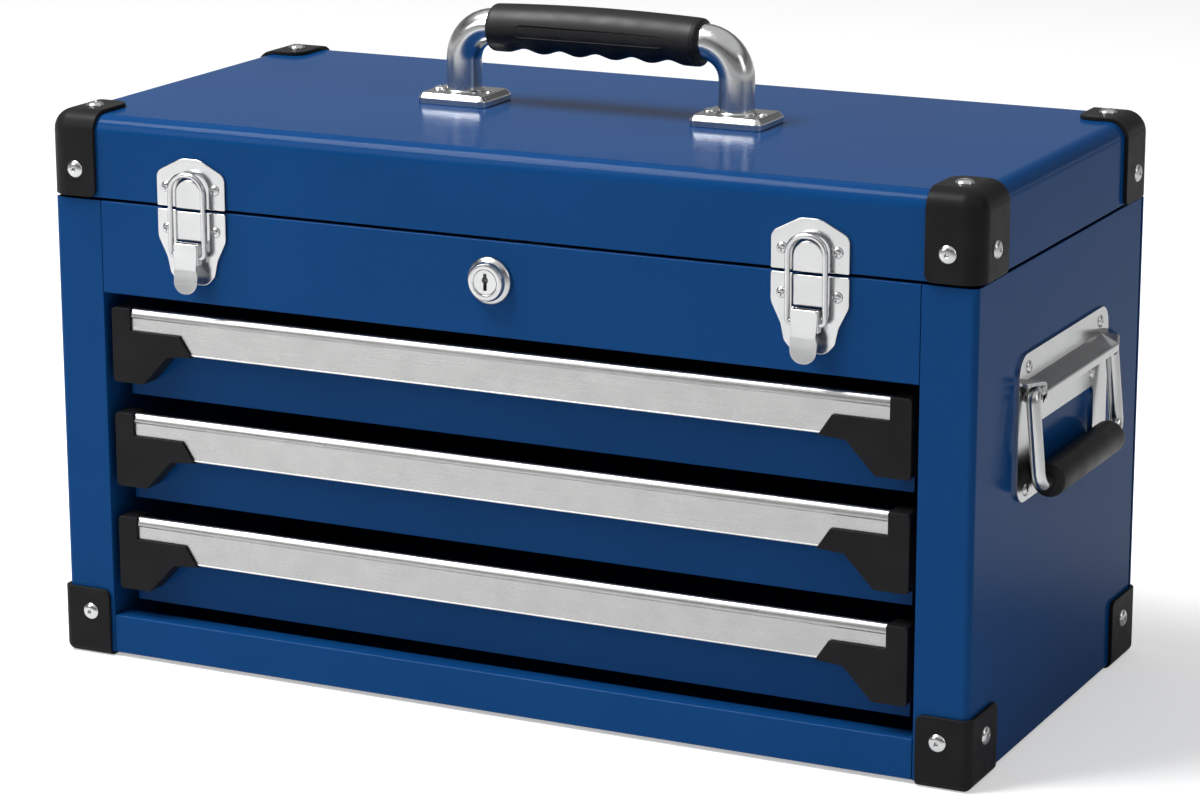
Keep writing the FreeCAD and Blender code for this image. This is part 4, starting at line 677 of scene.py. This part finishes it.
# %% Stamp a plate
def plate(corners, front, thickness):
    """A plate that faces the front: (x, z, corner radius) for each corner, in millimetres."""
    work = bmesh.new()
    points = [work.verts.new(Vector((x, front, z)) * MM) for x, z, _ in corners]
    work.faces.new(points)
    for point, (_, _, radius) in zip(points, corners):
        if radius:
            before, after = [edge.other_vert(point).co - point.co for edge in point.link_edges]
            offset = radius * MM / math.tan(before.angle(after) / 2)
            bmesh.ops.bevel(work, geom=[point], offset=offset, offset_type="OFFSET", segments=8,
                            profile=0.5, affect="VERTICES", material=-1)
    grown = bmesh.ops.extrude_face_region(work, geom=work.faces[:])["geom"]
    bmesh.ops.translate(work, vec=(0, thickness * MM, 0), verts=points_of(grown))
    return work


def mirrored(half):
    """A whole outline from its right half, listed upwards."""
    return half + [(-x, z, radius) for x, z, radius in reversed(half)]


def pressed(name, work, body, nodes, shift, width=0.35):
    """A bright pressing with softened edges."""
    piece = shown(name, work, "chrome", body, nodes, moved(shift))
    soften(piece, width * MM, 3)


def sliced(work, place, normal):
    """Cut new edges into a bmesh where a plane meets it."""
    bmesh.ops.bisect_plane(work, geom=work.verts[:] + work.edges[:] + work.faces[:],
                           plane_co=place, plane_no=normal)


# %% Latch catches and bases
for hand, side in LATCHES:
    shift = (LATCH_X * side, 0, 0)
    catch = plate(mirrored([(20.5, 253.0, 0.8), (20.5, 271.2, 4.5), (5.5, 278.9, 9)]), -125.5, 1.5)
    slot = plate(mirrored([(9.3, 252.0, 0), (9.3, 269.5, 9.2)]), -127.0, 4.0)
    pressed("latch_catch_%s_plate" % hand, carved(catch, slot), "lid", ["latch_catch_" + hand],
            shift)
    tongue = plate(mirrored([(8.0, 253.0, 0.5), (8.0, 268.2, 7.9)]), -128.0, 3.0)
    pressed("latch_catch_%s_tongue" % hand, tongue, "lid", [], shift, 0.9)
    base = plate(mirrored([(8.6, 212.4, 6), (13.4, 217.6, 4), (15.2, 226.0, 9),
                           (20.5, 236.6, 7), (20.5, 251.4, 0.8)]), -125.5, 1.5)
    slot = block((-9.2, -127.0, 234.6), (9.2, -123.0, 252.0))
    pressed("latch_base_%s_plate" % hand, carved(base, slot), "case",
            ["latch_base_" + hand], shift)
    boss = plate(mirrored([(7.8, 236.2, 0.8), (7.8, 251.4, 0.5)]), -127.7, 3.0)
    pressed("latch_base_%s_boss" % hand, boss, "case", [], shift, 0.8)


# %% Latch levers
CREASE = 221.8
TAB_LENGTH = 13.1


def lever():
    """A pressed face with two cheeks, whose tab is kicked outwards and has a round end."""
    face = plate(mirrored([(7.0, 208.7, 6.6), (7.1, 219.6, 1.5), (6.2, 222.6, 2), (6.9, 228.0, 3),
                           (7.1, 235.2, 1.2)]), -132.6, 1.1)
    for level in (CREASE, 221.2, 217, 213):
        sliced(face, (0, 0, level * MM), (0, 0, 1))
    for point in face.verts:
        share = min(max((CREASE * MM - point.co.z) / (TAB_LENGTH * MM), 0), 1)
        point.co.y -= (0.7 * share + 0.5 * share ** 2) * MM
    for sign in (1, -1):
        low, high = sorted((6.1 * sign, 7.2 * sign))
        added(face, block((low, -131.6, 224.1), (high, -127.6, 235.2)))
    return face


for hand, side in LATCHES:
    node = "latch_lever_" + hand
    pressed(node + "_pressed", lever(), body_of(node), [node], (LATCH_X * side, 0, 0), 0.3)
print("latches", len(LATCHES))

# %% [markdown]
# ## The pulls
#
# Each pull is an aluminium extrusion cut to length: a round nose along the top, a flat brushed
# face, and a small hook at the foot. It could be put together from boxes and a rod, but an
# extrusion is one outline pulled along a line. So the outline is drawn once, from the side, and
# extruded by the length of the pull.

# %% Extrude the pulls
PULL_HALF = 215.8
PULL_TOPS = (194.6, 137.1, 79.6)


def pull_outline(top):
    """The pull from its side: (y, z) in millimetres, once round."""
    nose = [(-119.0 - 3.2 * math.sin(turn), top - 4.4 + 4.4 * math.cos(turn))
            for turn in [math.radians(step) for step in range(-30, 91, 10)]]
    return nose + [(-121.9, top - 4.9), (-121.5, top - 5.3), (-121.6, top - 21.6),
                   (-121.8, top - 21.9), (-121.8, top - 22.3), (-121.5, top - 22.5),
                   (-118.2, top - 22.5), (-118.2, top - 21.0), (-120.1, top - 21.0),
                   (-120.1, top - 4.4), (-117.2, top - 4.4)]


for number, top in enumerate(PULL_TOPS, 1):
    bar = bmesh.new()
    side = bar.faces.new([bar.verts.new(Vector((-PULL_HALF, y, z)) * MM)
                          for y, z in pull_outline(top)])
    grown = bmesh.ops.extrude_face_region(bar, geom=[side])["geom"]
    bmesh.ops.translate(bar, vec=(2 * PULL_HALF * MM, 0, 0), verts=points_of(grown))
    node = "drawer_%d_pull" % number
    shown(node + "_extruded", bar, "brushed_aluminium", body_of(node), [node])
print("pulls", len(PULL_TOPS))

# %% [markdown]
# ## The cam lock
#
# The lock's housing is a turned ring: a wide rim against the panel, a cone, and a flat face round
# the plug. It is round about its axis, so it is spun like the rivets. The plug itself keeps the
# frame's own form, keyhole included.

# %% Lock housing
housing = turned([(6.45, -5), (6.45, 5.4), (6.75, 5.85), (7.1, 6.0), (8.7, 6.0), (9.3, 5.75),
                  (9.6, 5.2), (10.2, 3.6), (11.2, 2.9), (12.0, 2.2), (12.4, 1.3), (12.5, 0.6),
                  (12.5, 0), (8.8, 0), (8.8, -20), (6.45, -20), (6.45, -5)], 72)
shown("lock_housing_turned", housing, "chrome", "case", ["lock_housing"],
      moved((0, -124, 231.3)) @ faces_out((0, -1, 0)))

# %% [markdown]
# ## The top handle
#
# Two cast feet with sloping sides hold the tube, and a rubber sleeve covers its middle. The
# sleeve could be sculpted, but its form follows a rule. It starts as a plain cylinder with many
# rings, and its points are then moved by two formulas: a gentle crown along the top, and five
# finger hollows along the bottom that fade out up the sides.

# %% Handle feet
FOOT_TOP = 6
FOOT_SLOPE = 2.6
for hand, side in SIDES:
    foot = block((-20.5, -17, 0), (20.5, 17, FOOT_TOP))
    upright = [edge for edge in foot.edges
               if abs(edge.verts[0].co.z - edge.verts[1].co.z) > MM]
    bmesh.ops.bevel(foot, geom=upright, offset=4 * MM, offset_type="OFFSET", segments=8,
                    profile=0.5, affect="EDGES", material=-1)
    top = [face for face in foot.faces if face.normal.z > 0.9]
    bmesh.ops.inset_region(foot, faces=top, thickness=2.2 * MM)
    low = [point for point in foot.verts if point.co.z > (FOOT_TOP - 0.1) * MM
           and not any(face in top for face in point.link_faces)]
    bmesh.ops.translate(foot, verts=low, vec=(0, 0, -FOOT_SLOPE * MM))
    bmesh.ops.dissolve_limit(foot, angle_limit=FLAT, verts=foot.verts, edges=foot.edges)
    collar = turned([(9.5, 0), (11.4, 0), (11.4, 6.3), (11.2, 6.9), (10.6, 7.35), (9.5, 7.4)], 64)
    added(foot, collar)
    node = "handle_foot_" + hand
    piece = shown(node + "_cast", foot, "chrome", body_of(node), [node],
                  moved((FOOT_X * side, 0, LID_TOP)))
    soften(piece, 0.5 * MM, 3)

# %% Rubber sleeve
GRIP_HALF = 61.0
GRIP_PITCH = 21.0
GRIP_RADIUS = 13.2
GRIP_BORE = 10
GRIP_CROWN = 0.35
CROWN_FALL = 1.5
HOLLOW_DEPTH = 2.3


def sleeve():
    """The sleeve along X, with rings about a millimetre apart."""
    work = turned([(9.55, -61.0), (11.0, -61.0), (12.0, -60.8), (12.7, -60.3), (13.1, -59.5),
                   (13.2, -58.4), (13.2, 57.6), (12.95, 57.9), (12.95, 58.2), (13.15, 58.5),
                   (13.05, 59.6), (12.7, 60.3), (12.0, 60.8), (11.0, 61.0), (9.55, 61.0)], 64)
    bmesh.ops.transform(work, matrix=faces_out((1, 0, 0)), verts=work.verts)
    for along in range(-55, 56):
        sliced(work, (along * MM, 0, 0), (1, 0, 0))
    for point in work.verts:
        along = point.co.x / MM
        height = point.co.z / (GRIP_RADIUS * MM)
        if point.co.yz.length < GRIP_BORE * MM:
            continue
        crown = (GRIP_CROWN - CROWN_FALL * (along / GRIP_HALF) ** 2) * max(height, 0)
        below = max(-height, 0) ** 1.5
        hollow = 0.0
        if abs(along) < GRIP_PITCH * 2.5:
            hollow = HOLLOW_DEPTH * math.cos(math.pi * along / GRIP_PITCH) ** 2
        scale = 1 + (crown - hollow * below) / GRIP_RADIUS
        point.co.y *= scale
        point.co.z *= scale
    return work


half_round = [(3.2, (0, 1, 0)), (3.2, (0, 1, 0))]
line = bent_rod(0.35, (-40, -12.75, 3.2), (1, 0, 0), ([(80,)] + half_round) * 2, 10)
shown("handle_grip_moulded", added(sleeve(), line), "rubber", body_of("handle_grip"),
      ["handle_grip"], moved((0, 0, LID_TOP + HANDLE_RISE)))

# %% [markdown]
# ## The side handles
#
# Each side has a steel plate with a folded hood, a bail, and a rubber roll. The hood could be
# folded anew from a flat sheet. Moving the few points that differ keeps the plate's holes and
# cheeks where the frame has them. The roll is a turned piece laid along Y and hung from the same
# pivot as the bail.

# %% The hood over the bail's pivots
HOOD_END = 54.6
HOOD_OUT = 269.5
HOOD_DROP = 4.2
LIP_LEVEL = 184.4
ROOF_LEVEL = 185
TAPER_START = 64
TAPER = 6.5


def tucked(work):
    """Slope the middle of the hood to a short lip, as in the photo, and taper its raised ends."""
    for level in (HOOD_END + 0.05, HOOD_END + 0.9):
        for sign in (1, -1):
            sliced(work, (0, sign * level * MM, 0), (0, 1, 0))
    for point in work.verts:
        out, along, level = abs(point.co.x) / MM, abs(point.co.y) / MM, point.co.z / MM
        if out > HOOD_OUT and along < HOOD_END + 0.1:
            point.co.z = (level - HOOD_DROP if level > ROOF_LEVEL else LIP_LEVEL) * MM
        elif out > HOOD_OUT and along > TAPER_START:
            point.co.x = math.copysign((out - TAPER) * MM, point.co.x)


# %% Side grips
for hand, side in SIDES:
    roll = turned([(3.7, -47), (7.4, -47), (8.3, -46.7), (8.7, -46.1), (8.8, -45.2), (8.8, 45.2),
                   (8.7, 46.1), (8.3, 46.7), (7.4, 47), (3.7, 47)], 64)
    bmesh.ops.transform(roll, matrix=faces_out((0, 1, 0)), verts=roll.verts)
    node = "side_handle_grip_" + hand
    shown(node + "_turned", roll, "rubber", body_of(node), [node],
          hung(side) @ moved((0, 0, -46.6)))

# %% [markdown]
# ## Everything else
#
# Panels, trays, slides, guards and caps keep the frame's form, which is already the form of the
# folded sheet or the moulding. They could be modelled again, but nothing would be gained. They
# differ only in how far their edges are rounded: a folded sheet a quarter of a millimetre, moulded
# plastic a half.

# %% Dress the rest
SHEET = ["side_panel_right", "side_panel_left", "slide_upright_right", "slide_upright_left",
         "back_panel", "bottom_panel", "top_front_panel", "top_tray_floor", "lid_shell",
         "lock_nut", "lock_cam", "lock_strike", "lock_plug", "hinge_leaf_case", "hinge_leaf_lid",
         "hinge_pin", "slide_channels_right", "slide_channels_left"]
SHEET += ["drawer_%d_%s" % (number, word) for number in (1, 2, 3)
          for word in ("tray", "rails", "ball_cages")]
MOULDED = ["lid_corner_guards_front", "lid_corner_guards_rear", "case_corner_guards_front",
           "case_corner_guards_rear"]
MOULDED += ["drawer_%d_end_caps" % number for number in (1, 2, 3)]
for node in SHEET:
    dressed(node)
for hand, side in SIDES:
    dressed("side_handle_plate_" + hand, change=tucked)
for node in MOULDED:
    dressed(node, 0.5 * MM, 3)
print("dressed", len(SHEET) + len(SIDES) + len(MOULDED), "nodes")
